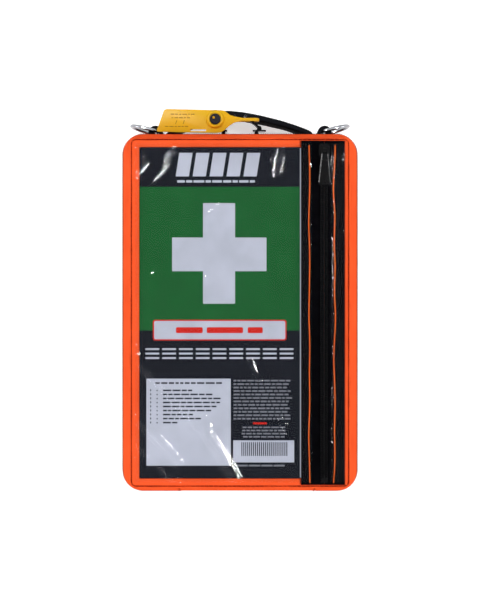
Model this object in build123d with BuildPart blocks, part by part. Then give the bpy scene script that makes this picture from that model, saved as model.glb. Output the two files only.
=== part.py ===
from build123d import *
import os
from math import cos, radians, sin

# A soft bleed control pouch lying on its back: X runs across it, Y towards its top edge,
# Z out of its front. The origin is on the surface it lies on, under the middle of the pouch.
# All sizes are in millimetres.

# Pouch
SEAM_WIDTH = 142.0          # across the side seams of the front and of the back
SEAM_HEIGHT = 226.0
SEAM_RADIUS = 7.0
BELLY = 7.0                 # how far the sides bulge past the seams
BELLY_RADIUS = 20.0
DEPTH = 60.0                # back face to front panel face
WALL = 1.2                  # fabric with its padding
BINDING_LAP = 3.0           # binding tape over the front and back
BINDING_PROUD = 1.4         # binding tape outside the seam
BINDING_HEIGHT = 2.6
BINDING_WRAP = 2.4
HINGE_LEFT = -40.0          # the bottom panel that stays joined when the pouch opens
HINGE_RIGHT = 49.0
HINGE_GAP = 0.6

# Zips
TAPE_THICKNESS = 0.7
TAPE_WIDTH = 13.5
MAIN_TAPE_WIDTH = 7.5
CHAIN_GAP = 1.0             # between the two coils
COIL_WIDTH = 1.8
COIL_HEIGHT = 1.4
FRONT_ZIP_INSET = 16.4      # chain centre to the right seam
RUN_GAP = 0.3               # slider plate to tape or coil
SLIDER_WIDTH = 7.2
SLIDER_LENGTH = 9.0
SLIDER_PLATE = 1.0
SLIDER_CORNER = 2.0
POST_WIDTH = 0.6
POST_LENGTH = 2.6
LIP_WIDTH = 1.0
LIP_LENGTH = 6.0
LUG_WIDTH = 2.0
LUG_LENGTH = 3.2
LUG_RADIUS = 1.5
PIN_RISE = 1.5              # pull pin above the slider's outer plate
PIN_RADIUS = 0.74
PIN_CLEARANCE = 0.06
FRONT_SLIDER_DROP = 8.0     # front slider's middle below the top seam
MAIN_SLIDER_X = 13.0        # each main slider's middle from the centre of the top edge
STOP_LENGTH = 3.0

# Zip pulls
PULL_THICKNESS = 1.6
FORK_CLEARANCE = 0.2
FORK_DEPTH = 2.6
PULL_HEEL = 0.95
PULL_TIP_RADIUS = 1.5
FRONT_PULL_LENGTH = 22.5
FRONT_PULL_TOP = 4.6
FRONT_PULL_TIP = 8.6
FRONT_PULL_DROOP = 3.5
PULL_RIM = 0.9
PULL_RECESS = 0.35
MAIN_PULL_LENGTH = 13.0
MAIN_PULL_TOP = 4.6
MAIN_PULL_TIP = 6.4
MAIN_PULL_RAISE = 40.0
EYE_DISTANCE = 8.0
EYE_LENGTH = 7.0
EYE_WIDTH = 3.6

# Window pocket
PANE_THICKNESS = 0.4
PANE_LAP = 5.8              # left pane over the zip tape
RIGHT_PANE_GAP = 4.4        # right pane's edge to the chain centre
CARD_THICKNESS = 0.4
CARD_SIDE_MARGIN = 2.6
CARD_END_MARGIN = 2.4
CARD_ZIP_GAP = 0.8

# Rings and carrying handle on the top edge
RING_X = 57.5
RING_WIRE = 1.25            # radius
RING_INSIDE = 20.4
RING_ARM = 6.0
RING_CORNER = 1.8
RING_LEAN = 15.0
LOOP_TUNNEL = 2.4
LOOP_WALL = 2.4
LOOP_CENTRE = 2.0           # tunnel centre outside the pouch wall
WEB_EDGE_GAP = 0.4
RING_PLAY = 0.1
HANDLE_SPAN = 92.0
HANDLE_WIDTH = 19.0
HANDLE_THICKNESS = 1.6
HANDLE_SEAT_GAP = 0.7
TAB_WIDTH = 10.0
TAB_THICKNESS = 1.4

# Security seal
TAG_THICKNESS = 1.2
TAG_CLEARANCE = 0.6         # tag above the main sliders
TAG_START = 2.0             # tag's lower edge outside the pouch wall
TAG_DEPTH = 14.4
TAG_LENGTH = 57.0
TAG_SLANT = 5.0
TAG_SHOULDER = 12.0         # where the tag narrows to its neck, from its tip
TAG_CORNER = 2.0
TAG_SLOT_X = -28.0
TAG_SLOT_LENGTH = 10.5
TAG_SLOT_WIDTH = 1.4
TAG_TIP_X = 1.0
TAG_BOSS_X = -16.6
BOSS_RADIUS = 5.8
BOSS_HEIGHT = 3.5
INSERT_RADIUS = 3.6
INSERT_DEPTH = 1.5
INSERT_PROUD = 0.4
TAIL_WIDTH = 2.0
TAIL_THICKNESS = 1.0
TAIL_TURN_X = 10.0

# Contents
STACK_GAP = 0.3             # between things that lie on each other
SIDE_GAP = 2.0              # between things that lie side by side
PACK_RIM = 1.2
PACK_SEAL = 4.0
PACK_ROUNDING = 2.5
DRESSING_WIDTH = 60.0
DRESSING_LENGTH = 110.0
GLOVES_LENGTH = 58.0
GAUZE_THICKNESS = 14.0
END_ROOM = 5.0              # packs to the top and bottom walls
TOP_ROOM = 1.2              # shears to the front panel

# Tourniquet
STRAP_WIDTH = 38.0
STRAP_LENGTH = 150.0
STRAP_STACK = 8.4
STRAP_PLY = 1.6
TONGUE_REACH = 23.0
BASE_WIDTH = 36.0
BASE_LENGTH = 104.0
BASE_THICKNESS = 2.0
RIBBON_WIDTH = 24.0
RIBBON_LENGTH = 68.0
RIBBON_THICKNESS = 0.8
ROD_RADIUS = 4.0
ROD_LENGTH = 100.0
ROD_GAP = 0.4
ROD_SLOT_LENGTH = 14.0
ROD_SLOT_WIDTH = 1.8
GRIP_GROOVE = 0.5
KEEPER_WALL = 2.0
KEEPER_ROOF = 1.5
KEEPER_LENGTH = 8.0
KEEPER_Y = 42.0
KEEPER_MOUTH = 5.0
TIME_STRAP_WIDTH = 30.0
TIME_STRAP_LENGTH = 12.0
TIME_STRAP_THICKNESS = 0.6
BUCKLE_WIDTH = 44.0
BUCKLE_LENGTH = 14.0
BUCKLE_THICKNESS = 4.8
BUCKLE_WINDOW = 3.4

# Wound wash ampoules and marker
AMPOULE_WIDTH = 19.0
AMPOULE_LENGTH = 60.0
AMPOULE_THICKNESS = 12.6
AMPOULE_END_Y = -95.0
NECK_RADIUS = 3.0
NECK_LENGTH = 6.0
CAP_TAB_WIDTH = 14.0
CAP_TAB_LENGTH = 12.0
CAP_TAB_THICKNESS = 3.0
MARKER_RADIUS = 5.0
MARKER_LENGTH = 112.0
MARKER_END_Y = -100.0
MARKER_CAP_WALL = 0.6
MARKER_CAP_LAP = 24.0
MARKER_CAP_LENGTH = 39.0
MARKER_CAP_END = 2.0
MARKER_CLEARANCE = 0.06
NIB_HOLDER_RADIUS = 3.5
NIB_HOLDER_LENGTH = 7.0
NIB_RADIUS = 1.2
NIB_LENGTH = 4.0

# Trauma shears
SHEARS_X = -8.0
SHEARS_Y = 2.0
SHEARS_THICKNESS = 8.0
BLADE_THICKNESS = 2.0
BLADE_GAP = 0.2
GRIP_X = 15.5
GRIP_Y = -52.0
GRIP_WIDTH = 26.0
GRIP_LENGTH = 54.0
GRIP_BAND = 4.5
SCREW_RADIUS = 2.4
SCREW_HEAD_RADIUS = 3.6
SCREW_HEAD = 1.2
SCREW_CLEARANCE = 0.05

# Spare seals
SPARE_PLATE_LENGTH = 40.0
SPARE_PLATE_WIDTH = 14.0
SPARE_TAIL = 40.0
SPARE_END_GAP = 0.7135      # lower spare seal's tail to the top wall
SPARE_COUNT = 2

# Worked out
MID_WIDTH = SEAM_WIDTH + 2 * BELLY
MID_HEIGHT = SEAM_HEIGHT + 2 * BELLY
TOP_WALL_Y = MID_HEIGHT / 2
ZIP_LEVEL = DEPTH / 2
REAR_TAPE_TOP = ZIP_LEVEL - CHAIN_GAP / 2
FRONT_TAPE_LOW = ZIP_LEVEL + CHAIN_GAP / 2
REAR_TAPE_LOW = REAR_TAPE_TOP - MAIN_TAPE_WIDTH
FRONT_TAPE_TOP = FRONT_TAPE_LOW + MAIN_TAPE_WIDTH
PANEL_LOW = DEPTH - WALL
COIL_LOW = REAR_TAPE_TOP - COIL_WIDTH

PLATE_LOW = COIL_HEIGHT + RUN_GAP
PLATE_TOP = PLATE_LOW + SLIDER_PLATE
PIN_HEIGHT = PLATE_TOP + PIN_RISE

FRONT_TAPE_LEVEL = DEPTH + RUN_GAP + SLIDER_PLATE + RUN_GAP
FRONT_TAPE_FACE = FRONT_TAPE_LEVEL + TAPE_THICKNESS
FRONT_ZIP_X = SEAM_WIDTH / 2 - FRONT_ZIP_INSET
POCKET_X = SEAM_WIDTH / 2 - BINDING_LAP
POCKET_Y = SEAM_HEIGHT / 2 - BINDING_LAP
LEFT_TAPE_EDGE = FRONT_ZIP_X - CHAIN_GAP / 2 - TAPE_WIDTH

RING_LEVEL = COIL_LOW / 2
LOOP_WIDTH = RING_INSIDE - 2 * WEB_EDGE_GAP
BAR_Y = TOP_WALL_Y + LOOP_CENTRE + LOOP_TUNNEL - RING_WIRE - RING_PLAY
HANDLE_TOP = RING_LEVEL + HANDLE_WIDTH / 2
HANDLE_WALL_DROP = BELLY * max(0.0, REAR_TAPE_LOW - HANDLE_TOP) / (REAR_TAPE_LOW - WALL)
HANDLE_END_Y = TOP_WALL_Y - HANDLE_WALL_DROP + TAB_THICKNESS + HANDLE_SEAT_GAP

PULL_PIN_Y = TOP_WALL_Y + PIN_HEIGHT
EYE_Y = PULL_PIN_Y + EYE_DISTANCE * sin(radians(MAIN_PULL_RAISE))
TAG_LEVEL = ZIP_LEVEL + SLIDER_WIDTH / 2 + TAG_CLEARANCE
TAG_LOW_Y = TOP_WALL_Y + TAG_START

INSIDE_X = SEAM_WIDTH / 2 - WALL
INSIDE_Y = SEAM_HEIGHT / 2 - WALL
SHEARS_TOP = PANEL_LOW - TOP_ROOM
SHEARS_LOW = SHEARS_TOP - SHEARS_THICKNESS
LOWER_BLADE = SHEARS_LOW + SHEARS_THICKNESS / 2 - BLADE_THICKNESS - BLADE_GAP / 2
UPPER_BLADE = LOWER_BLADE + BLADE_THICKNESS + BLADE_GAP
KEEPER_TOP = LOWER_BLADE - STACK_GAP
ROD_TOP = KEEPER_TOP - KEEPER_ROOF - ROD_GAP
ROD_LEVEL = ROD_TOP - ROD_RADIUS
RIBBON_TOP = ROD_TOP - 2 * ROD_RADIUS - ROD_GAP
BASE_TOP = RIBBON_TOP - RIBBON_THICKNESS
TONGUE_TOP = BASE_TOP - BASE_THICKNESS
STRAP_TOP = TONGUE_TOP - STRAP_PLY
STRAP_LOW = STRAP_TOP - STRAP_STACK
PACK_TOP = STRAP_LOW - STACK_GAP
PACK_LOW = WALL + STACK_GAP
MARKER_X = INSIDE_X - SIDE_GAP - MARKER_RADIUS - MARKER_CAP_WALL - MARKER_CLEARANCE
AMPOULE_RIGHT_X = MARKER_X - MARKER_RADIUS - 2 * SIDE_GAP - AMPOULE_WIDTH / 2
AMPOULE_LEFT_X = AMPOULE_RIGHT_X - AMPOULE_WIDTH - SIDE_GAP
TOURNIQUET_X = AMPOULE_LEFT_X - AMPOULE_WIDTH / 2 - SIDE_GAP - BUCKLE_WIDTH / 2
MARKER_LEVEL = PACK_TOP + STACK_GAP + MARKER_RADIUS + MARKER_CLEARANCE + MARKER_CAP_WALL


def seam_outline(inset):
    """Outline of the front and back panels, made smaller by inset."""
    RectangleRounded(SEAM_WIDTH - 2 * inset, SEAM_HEIGHT - 2 * inset, SEAM_RADIUS - inset)


def belly_outline(inset):
    """Outline of the pouch at the zip, made smaller by inset."""
    RectangleRounded(MID_WIDTH - 2 * inset, MID_HEIGHT - 2 * inset, BELLY_RADIUS - inset)


def seam_slab(inset, low, high, mode=Mode.ADD):
    """A slab of the panels' outline."""
    with BuildSketch(Plane.XY.offset(low)) as outline:
        seam_outline(inset)
    extrude(outline.sketch, amount=high - low, mode=mode)


def belly_slab(inset, low, high, mode=Mode.ADD):
    """A slab of the pouch's widest outline."""
    with BuildSketch(Plane.XY.offset(low)) as outline:
        belly_outline(inset)
    extrude(outline.sketch, amount=high - low, mode=mode)


def slope(inset, belly_level, seam_level, mode=Mode.ADD):
    """The sloping sides between the straight band at the zip and a seam."""
    with BuildSketch(Plane.XY.offset(belly_level)) as wide:
        belly_outline(inset)
    with BuildSketch(Plane.XY.offset(seam_level)) as narrow:
        seam_outline(inset)
    loft([wide.sketch, narrow.sketch], ruled=True, mode=mode)


def hinge_zone(mode):
    """The stretch of the bottom wall that stays joined, as a block through the whole depth."""
    middle = (HINGE_LEFT + HINGE_RIGHT) / 2
    with BuildSketch(Plane.XY) as zone:
        with Locations((middle, -TOP_WALL_Y)):
            Rectangle(HINGE_RIGHT - HINGE_LEFT, 2 * BELLY_RADIUS)
    extrude(zone.sketch, amount=DEPTH, mode=mode)


def rear_solid(grow, mode):
    """The rear half of the pouch as a filled body, made larger by grow."""
    slope(-grow, REAR_TAPE_LOW, WALL, mode)
    belly_slab(-grow, REAR_TAPE_LOW, REAR_TAPE_TOP, mode)


def across(frame, height):
    """Plane normal to the frame's x, at a height over the frame: its x is the frame's y."""
    origin = frame.origin + frame.z_dir * height
    return Plane(origin=origin, x_dir=frame.y_dir, z_dir=frame.x_dir)


def slider(frame, lip_low):
    """Zip slider on a chain. The frame lies on the tape's outer face under the slider's middle,
    with x across the chain, y the way the zip closes and z outwards."""
    inner_top = -TAPE_THICKNESS - RUN_GAP
    for low in (inner_top - SLIDER_PLATE, PLATE_LOW):
        with BuildSketch(frame.offset(low)) as plate:
            RectangleRounded(SLIDER_WIDTH, SLIDER_LENGTH, SLIDER_CORNER)
        extrude(plate.sketch, amount=SLIDER_PLATE)
    with BuildSketch(frame.offset(inner_top)) as post:
        with Locations((0, SLIDER_LENGTH / 2 - POST_LENGTH)):
            Rectangle(POST_WIDTH, POST_LENGTH)
    extrude(post.sketch, amount=PLATE_LOW - inner_top)
    with BuildSketch(frame.offset(lip_low)) as lips:
        with GridLocations(SLIDER_WIDTH - LIP_WIDTH, 0, 2, 1):
            RectangleRounded(LIP_WIDTH, LIP_LENGTH, LIP_WIDTH / 3)
    extrude(lips.sketch, amount=PLATE_TOP - lip_low)
    with BuildSketch(across(frame, PLATE_TOP)) as lug:
        with Locations((0, PIN_RISE / 2)):
            Rectangle(LUG_LENGTH, PIN_RISE)
        with Locations((0, PIN_RISE)):
            Circle(LUG_RADIUS)
            Circle(PIN_RADIUS + PIN_CLEARANCE, mode=Mode.SUBTRACT)
    extrude(lug.sketch, amount=LUG_WIDTH / 2, both=True)


def pull_frame(frame, towards, raise_angle):
    """Plane through a pull's pin, with y along the pull. towards is 1 or -1 along the frame's y."""
    angle = radians(raise_angle)
    along = frame.y_dir * (towards * cos(angle)) + frame.z_dir * sin(angle)
    origin = frame.origin + frame.z_dir * PIN_HEIGHT
    return Plane(origin=origin, x_dir=frame.x_dir, z_dir=frame.x_dir.cross(along))


def pull_outline(length, top_width, tip_width, inset, start):
    """A bar that widens towards its tip."""
    with BuildLine() as outline:
        Polyline(
            (-top_width / 2 + inset, start),
            (top_width / 2 - inset, start),
            (tip_width / 2 - inset, length - inset),
            (inset - tip_width / 2, length - inset),
            close=True,
        )
    make_face(outline.edges())


def pull(frame, length, top_width, tip_width):
    """Zip pull: a bar that forks round the slider's lug, with its pin across the fork."""
    with BuildSketch(frame.offset(-PULL_THICKNESS / 2)) as bar:
        pull_outline(length, top_width, tip_width, 0, -PULL_HEEL)
        fillet(bar.vertices().group_by(Axis.Y)[-1], radius=PULL_TIP_RADIUS)
        Rectangle(LUG_WIDTH + 2 * FORK_CLEARANCE, 2 * FORK_DEPTH, mode=Mode.SUBTRACT)
    extrude(bar.sketch, amount=PULL_THICKNESS)
    with BuildSketch(across(frame, 0)) as pin:
        Circle(PIN_RADIUS)
    extrude(pin.sketch, amount=top_width / 2 - FORK_CLEARANCE, both=True)


front_chain = Plane(
    origin=(FRONT_ZIP_X, SEAM_HEIGHT / 2 - FRONT_SLIDER_DROP, FRONT_TAPE_FACE),
    x_dir=(1, 0, 0),
    z_dir=(0, 0, 1),
)
left_chain = Plane(origin=(-MAIN_SLIDER_X, TOP_WALL_Y, ZIP_LEVEL), x_dir=(0, 0, 1), z_dir=(0, 1, 0))
right_chain = Plane(origin=(MAIN_SLIDER_X, TOP_WALL_Y, ZIP_LEVEL), x_dir=(0, 0, -1), z_dir=(0, 1, 0))


# ---- Case: the rear half ----

with BuildPart() as back_panel:
    seam_slab(0, 0, WALL)

with BuildPart() as back_binding:
    seam_slab(-BINDING_PROUD, 0, WALL + BINDING_WRAP)
    seam_slab(0, 0, WALL, Mode.SUBTRACT)
    slope(0, REAR_TAPE_LOW, WALL, Mode.SUBTRACT)

with BuildPart() as rear_gusset:
    slope(0, REAR_TAPE_LOW, WALL)
    slope(WALL, REAR_TAPE_LOW, WALL, Mode.SUBTRACT)
    hinge_zone(Mode.SUBTRACT)

with BuildPart() as main_zip_tape_rear:
    belly_slab(0, REAR_TAPE_LOW, REAR_TAPE_TOP)
    belly_slab(TAPE_THICKNESS, REAR_TAPE_LOW, REAR_TAPE_TOP, Mode.SUBTRACT)
    hinge_zone(Mode.SUBTRACT)

with BuildPart() as main_zip_coil_rear:
    belly_slab(-COIL_HEIGHT, COIL_LOW, REAR_TAPE_TOP)
    belly_slab(0, COIL_LOW, REAR_TAPE_TOP, Mode.SUBTRACT)
    hinge_zone(Mode.SUBTRACT)

with BuildPart() as hinge_panel_rear:
    slope(0, REAR_TAPE_LOW, WALL)
    belly_slab(0, REAR_TAPE_LOW, ZIP_LEVEL - HINGE_GAP / 2)
    slope(WALL, REAR_TAPE_LOW, WALL, Mode.SUBTRACT)
    belly_slab(WALL, REAR_TAPE_LOW, ZIP_LEVEL - HINGE_GAP / 2, Mode.SUBTRACT)
    hinge_zone(Mode.INTERSECT)

# ---- Cover: the front half ----

with BuildPart() as front_gusset:
    slope(0, FRONT_TAPE_TOP, PANEL_LOW)
    slope(WALL, FRONT_TAPE_TOP, PANEL_LOW, Mode.SUBTRACT)
    hinge_zone(Mode.SUBTRACT)

with BuildPart() as main_zip_tape_front:
    belly_slab(0, FRONT_TAPE_LOW, FRONT_TAPE_TOP)
    belly_slab(TAPE_THICKNESS, FRONT_TAPE_LOW, FRONT_TAPE_TOP, Mode.SUBTRACT)
    hinge_zone(Mode.SUBTRACT)

with BuildPart() as main_zip_coil_front:
    belly_slab(-COIL_HEIGHT, FRONT_TAPE_LOW, FRONT_TAPE_LOW + COIL_WIDTH)
    belly_slab(0, FRONT_TAPE_LOW, FRONT_TAPE_LOW + COIL_WIDTH, Mode.SUBTRACT)
    hinge_zone(Mode.SUBTRACT)

with BuildPart() as hinge_panel_front:
    slope(0, FRONT_TAPE_TOP, PANEL_LOW)
    belly_slab(0, ZIP_LEVEL + HINGE_GAP / 2, FRONT_TAPE_TOP)
    slope(WALL, FRONT_TAPE_TOP, PANEL_LOW, Mode.SUBTRACT)
    belly_slab(WALL, ZIP_LEVEL + HINGE_GAP / 2, FRONT_TAPE_TOP, Mode.SUBTRACT)
    hinge_zone(Mode.INTERSECT)

with BuildPart() as front_panel:
    seam_slab(0, PANEL_LOW, DEPTH)

with BuildPart() as front_binding:
    seam_slab(-BINDING_PROUD, PANEL_LOW - BINDING_WRAP, DEPTH + BINDING_HEIGHT)
    seam_slab(BINDING_LAP, DEPTH, DEPTH + BINDING_HEIGHT, Mode.SUBTRACT)
    seam_slab(0, PANEL_LOW, DEPTH, Mode.SUBTRACT)
    slope(0, FRONT_TAPE_TOP, PANEL_LOW, Mode.SUBTRACT)

# ---- Window pocket on the cover ----


def pocket_sheet(left, right, end, low, thickness):
    """A flat sheet in the pocket, from left to right and from end to end in Y."""
    with BuildSketch(Plane.XY.offset(low)) as sheet:
        with Locations(((left + right) / 2, 0)):
            Rectangle(right - left, 2 * end)
    extrude(sheet.sketch, amount=thickness)


CARD_LEFT = CARD_SIDE_MARGIN - POCKET_X
CARD_RIGHT = LEFT_TAPE_EDGE - CARD_ZIP_GAP

with BuildPart() as insert_card:
    pocket_sheet(CARD_LEFT, CARD_RIGHT, POCKET_Y - CARD_END_MARGIN, DEPTH, CARD_THICKNESS)

with BuildPart() as window_pane_left:
    pocket_sheet(-POCKET_X, LEFT_TAPE_EDGE + PANE_LAP, POCKET_Y, FRONT_TAPE_FACE, PANE_THICKNESS)
    corners = window_pane_left.edges().filter_by(Axis.Z).group_by(Axis.X)[0]
    fillet(corners, radius=SEAM_RADIUS - BINDING_LAP)

with BuildPart() as window_pane_right:
    pocket_sheet(FRONT_ZIP_X + RIGHT_PANE_GAP, POCKET_X, POCKET_Y, FRONT_TAPE_FACE, PANE_THICKNESS)
    corners = window_pane_right.edges().filter_by(Axis.Z).group_by(Axis.X)[-1]
    fillet(corners, radius=SEAM_RADIUS - BINDING_LAP)


def front_tape(side):
    """Zip tape on one side of the front chain."""
    near = FRONT_ZIP_X + side * CHAIN_GAP / 2
    far = near + side * TAPE_WIDTH
    pocket_sheet(min(near, far), min(max(near, far), POCKET_X), POCKET_Y, FRONT_TAPE_LEVEL, TAPE_THICKNESS)


def front_coil(side):
    """Coil on the edge of a front zip tape."""
    near = FRONT_ZIP_X + side * CHAIN_GAP / 2
    far = near + side * COIL_WIDTH
    pocket_sheet(min(near, far), max(near, far), POCKET_Y, FRONT_TAPE_FACE, COIL_HEIGHT)


with BuildPart() as front_zip_tape_left:
    front_tape(-1)

with BuildPart() as front_zip_tape_right:
    front_tape(1)
    corners = front_zip_tape_right.edges().filter_by(Axis.Z).group_by(Axis.X)[-1]
    fillet(corners, radius=SEAM_RADIUS - BINDING_LAP)

with BuildPart() as front_zip_coil_left:
    front_coil(-1)

with BuildPart() as front_zip_coil_right:
    front_coil(1)

with BuildPart() as front_zip_stops:
    with BuildSketch(Plane.XY.offset(FRONT_TAPE_FACE + COIL_HEIGHT)):
        with Locations((FRONT_ZIP_X, STOP_LENGTH / 2 - POCKET_Y)):
            RectangleRounded(CHAIN_GAP + 2 * COIL_WIDTH, STOP_LENGTH, COIL_WIDTH / 2)
        with Locations((FRONT_ZIP_X, POCKET_Y - COIL_WIDTH / 2)):
            with GridLocations(CHAIN_GAP + COIL_WIDTH, 0, 2, 1):
                RectangleRounded(COIL_WIDTH, COIL_WIDTH / 2, COIL_WIDTH / 5)
    extrude(amount=RUN_GAP)

# ---- Sliders and pulls ----

with BuildPart() as front_zip_slider:
    slider(front_chain, RUN_GAP)

with BuildPart() as main_zip_slider_left:
    slider(left_chain, PLATE_LOW)

with BuildPart() as main_zip_slider_right:
    slider(right_chain, PLATE_LOW)

front_pull_frame = pull_frame(front_chain, -1, -FRONT_PULL_DROOP)

with BuildPart() as front_zip_pull:
    pull(front_pull_frame, FRONT_PULL_LENGTH, FRONT_PULL_TOP, FRONT_PULL_TIP)
    for face in (-PULL_THICKNESS / 2, PULL_THICKNESS / 2 - PULL_RECESS):
        with BuildSketch(front_pull_frame.offset(face)):
            pull_outline(FRONT_PULL_LENGTH, FRONT_PULL_TOP, FRONT_PULL_TIP, PULL_RIM, FORK_DEPTH + PULL_RIM)
        extrude(amount=PULL_RECESS, mode=Mode.SUBTRACT)


def main_pull(chain):
    """A main zip's pull, raised off the tape, with the eye that the seal's tail goes through."""
    frame = pull_frame(chain, 1, MAIN_PULL_RAISE)
    pull(frame, MAIN_PULL_LENGTH, MAIN_PULL_TOP, MAIN_PULL_TIP)
    with BuildSketch(frame.offset(-PULL_THICKNESS / 2)) as eye:
        with Locations((0, EYE_DISTANCE)):
            RectangleRounded(EYE_WIDTH, EYE_LENGTH, EYE_WIDTH / 3)
    extrude(eye.sketch, amount=PULL_THICKNESS, mode=Mode.SUBTRACT)


with BuildPart() as main_zip_pull_left:
    main_pull(left_chain)

with BuildPart() as main_zip_pull_right:
    main_pull(right_chain)

# ---- Rings, their loops and the handle ----


def ring_loop(side):
    """Webbing loop sewn to the top wall, with the tunnel that a ring's bar lies in."""
    outer = LOOP_TUNNEL + LOOP_WALL
    with BuildSketch(Plane.XY.offset(RING_LEVEL - LOOP_WIDTH / 2)) as profile:
        with Locations((side * RING_X, TOP_WALL_Y + LOOP_CENTRE)):
            Circle(outer)
            with Locations((0, -outer)):
                Rectangle(2 * outer, 2 * outer)
            Circle(LOOP_TUNNEL, mode=Mode.SUBTRACT)
    extrude(profile.sketch, amount=LOOP_WIDTH)
    rear_solid(0, Mode.SUBTRACT)


def d_ring(side):
    """Wire ring with one straight bar, leaning outwards from the loop it hangs in."""
    lean = radians(RING_LEAN)
    outwards = Vector(side * cos(lean), sin(lean), 0)
    frame = Plane(
        origin=(side * RING_X, BAR_Y, RING_LEVEL),
        x_dir=outwards,
        z_dir=outwards.cross(Vector(0, 0, 1)),
    )
    half = RING_INSIDE / 2 + RING_WIRE
    with BuildLine(frame) as route:
        FilletPolyline((RING_ARM, half), (0, half), (0, -half), (RING_ARM, -half), radius=RING_CORNER)
        ThreePointArc((RING_ARM, half), (RING_ARM + half, 0), (RING_ARM, -half))
    with BuildSketch(Plane(origin=frame.origin, z_dir=frame.y_dir)) as wire:
        Circle(RING_WIRE)
    sweep(wire.sketch, path=route.wire())


with BuildPart() as d_ring_loop_left:
    ring_loop(-1)

with BuildPart() as d_ring_loop_right:
    ring_loop(1)

with BuildPart() as d_ring_left:
    d_ring(-1)

with BuildPart() as d_ring_right:
    d_ring(1)

with BuildPart() as webbing_layer:
    rear_solid(TAB_THICKNESS, Mode.ADD)
    rear_solid(0, Mode.SUBTRACT)

with BuildPart() as handle_tabs:
    with BuildSketch(Plane.XY.offset(RING_LEVEL - HANDLE_WIDTH / 2)):
        with Locations((0, TOP_WALL_Y)):
            with GridLocations(HANDLE_SPAN, 0, 2, 1):
                Rectangle(TAB_WIDTH, 2 * BELLY_RADIUS)
    extrude(amount=HANDLE_WIDTH)
    add(webbing_layer.part, mode=Mode.INTERSECT)

HANDLE_ROUTE = (
    (-54.0, HANDLE_END_Y - 3.5),
    (-33.0, HANDLE_END_Y + 8.5),
    (-12.0, HANDLE_END_Y + 15.7),
    (8.0, HANDLE_END_Y + 12.7),
    (28.0, HANDLE_END_Y + 7.5),
    (52.0, HANDLE_END_Y - 1.6),
)
HANDLE_BENDS = (30.0, 22.0, 90.0, 90.0)

with BuildPart() as carry_handle:
    with BuildSketch(Plane.XY.offset(RING_LEVEL - HANDLE_WIDTH / 2)):
        with BuildLine():
            FilletPolyline(*HANDLE_ROUTE, radius=HANDLE_BENDS)
        trace(line_width=HANDLE_THICKNESS)
        with Locations((0, HANDLE_END_Y)):
            Rectangle(MID_WIDTH, TOP_WALL_Y, align=(Align.CENTER, Align.MAX), mode=Mode.SUBTRACT)
    extrude(amount=HANDLE_WIDTH)

# ---- Security seal ----

TAG_LEFT = TAG_TIP_X - TAG_LENGTH
TAG_TOP_Y = TAG_LOW_Y + TAG_DEPTH

with BuildPart() as seal_tag:
    with BuildSketch(Plane.XY.offset(TAG_LEVEL)) as tag:
        with BuildLine():
            Polyline(
                (TAG_LEFT, TAG_LOW_Y),
                (TAG_LEFT + TAG_SLANT, TAG_TOP_Y),
                (TAG_TIP_X - TAG_SHOULDER, TAG_TOP_Y),
                (TAG_TIP_X, EYE_Y + TAIL_WIDTH / 2),
                (TAG_TIP_X, EYE_Y - TAIL_WIDTH / 2),
                (TAG_TIP_X - TAG_SHOULDER, TAG_LOW_Y),
                close=True,
            )
        make_face()
        fillet(tag.vertices().group_by(Axis.X)[0] + tag.vertices().group_by(Axis.X)[1], radius=TAG_CORNER)
        with Locations((TAG_SLOT_X, TAG_LOW_Y + 2 * TAG_SLOT_WIDTH)):
            SlotOverall(TAG_SLOT_LENGTH, TAG_SLOT_WIDTH, mode=Mode.SUBTRACT)
    extrude(amount=TAG_THICKNESS)
    with BuildSketch(Plane.XY.offset(TAG_LEVEL)):
        with Locations((TAG_BOSS_X, EYE_Y)):
            Circle(BOSS_RADIUS)
    extrude(amount=BOSS_HEIGHT)
    with BuildSketch(Plane.XY.offset(TAG_LEVEL + BOSS_HEIGHT)):
        with Locations((TAG_BOSS_X, EYE_Y)):
            Circle(INSERT_RADIUS)
    extrude(amount=-INSERT_DEPTH, mode=Mode.SUBTRACT)

with BuildPart() as seal_lock_insert:
    with BuildSketch(Plane.XY.offset(TAG_LEVEL + BOSS_HEIGHT - INSERT_DEPTH)):
        with Locations((TAG_BOSS_X, EYE_Y)):
            Circle(INSERT_RADIUS - SCREW_CLEARANCE)
    extrude(amount=INSERT_DEPTH + INSERT_PROUD)
    chamfer(seal_lock_insert.edges().group_by(Axis.Z)[-1], length=INSERT_PROUD)

TAIL_TOP = TAG_LEVEL + TAG_THICKNESS / 2
TAIL_TURN = (TAIL_TOP - ZIP_LEVEL) / 2
TAIL_RISE = TAG_LEVEL - ZIP_LEVEL

with BuildPart() as seal_tail:
    with BuildSketch(Plane.XZ.offset(-EYE_Y)):
        with BuildLine():
            Line((TAG_TIP_X, TAIL_TOP), (TAIL_TURN_X, TAIL_TOP))
            ThreePointArc(
                (TAIL_TURN_X, TAIL_TOP),
                (TAIL_TURN_X + TAIL_TURN, TAIL_TOP - TAIL_TURN),
                (TAIL_TURN_X, ZIP_LEVEL),
            )
            Line((TAIL_TURN_X, ZIP_LEVEL), (TAG_BOSS_X + TAIL_RISE, ZIP_LEVEL))
            RadiusArc((TAG_BOSS_X + TAIL_RISE, ZIP_LEVEL), (TAG_BOSS_X, TAG_LEVEL), TAIL_RISE)
        trace(line_width=TAIL_THICKNESS)
    extrude(amount=TAIL_WIDTH / 2, both=True)

# ---- Contents: packs on the back panel ----


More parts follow.
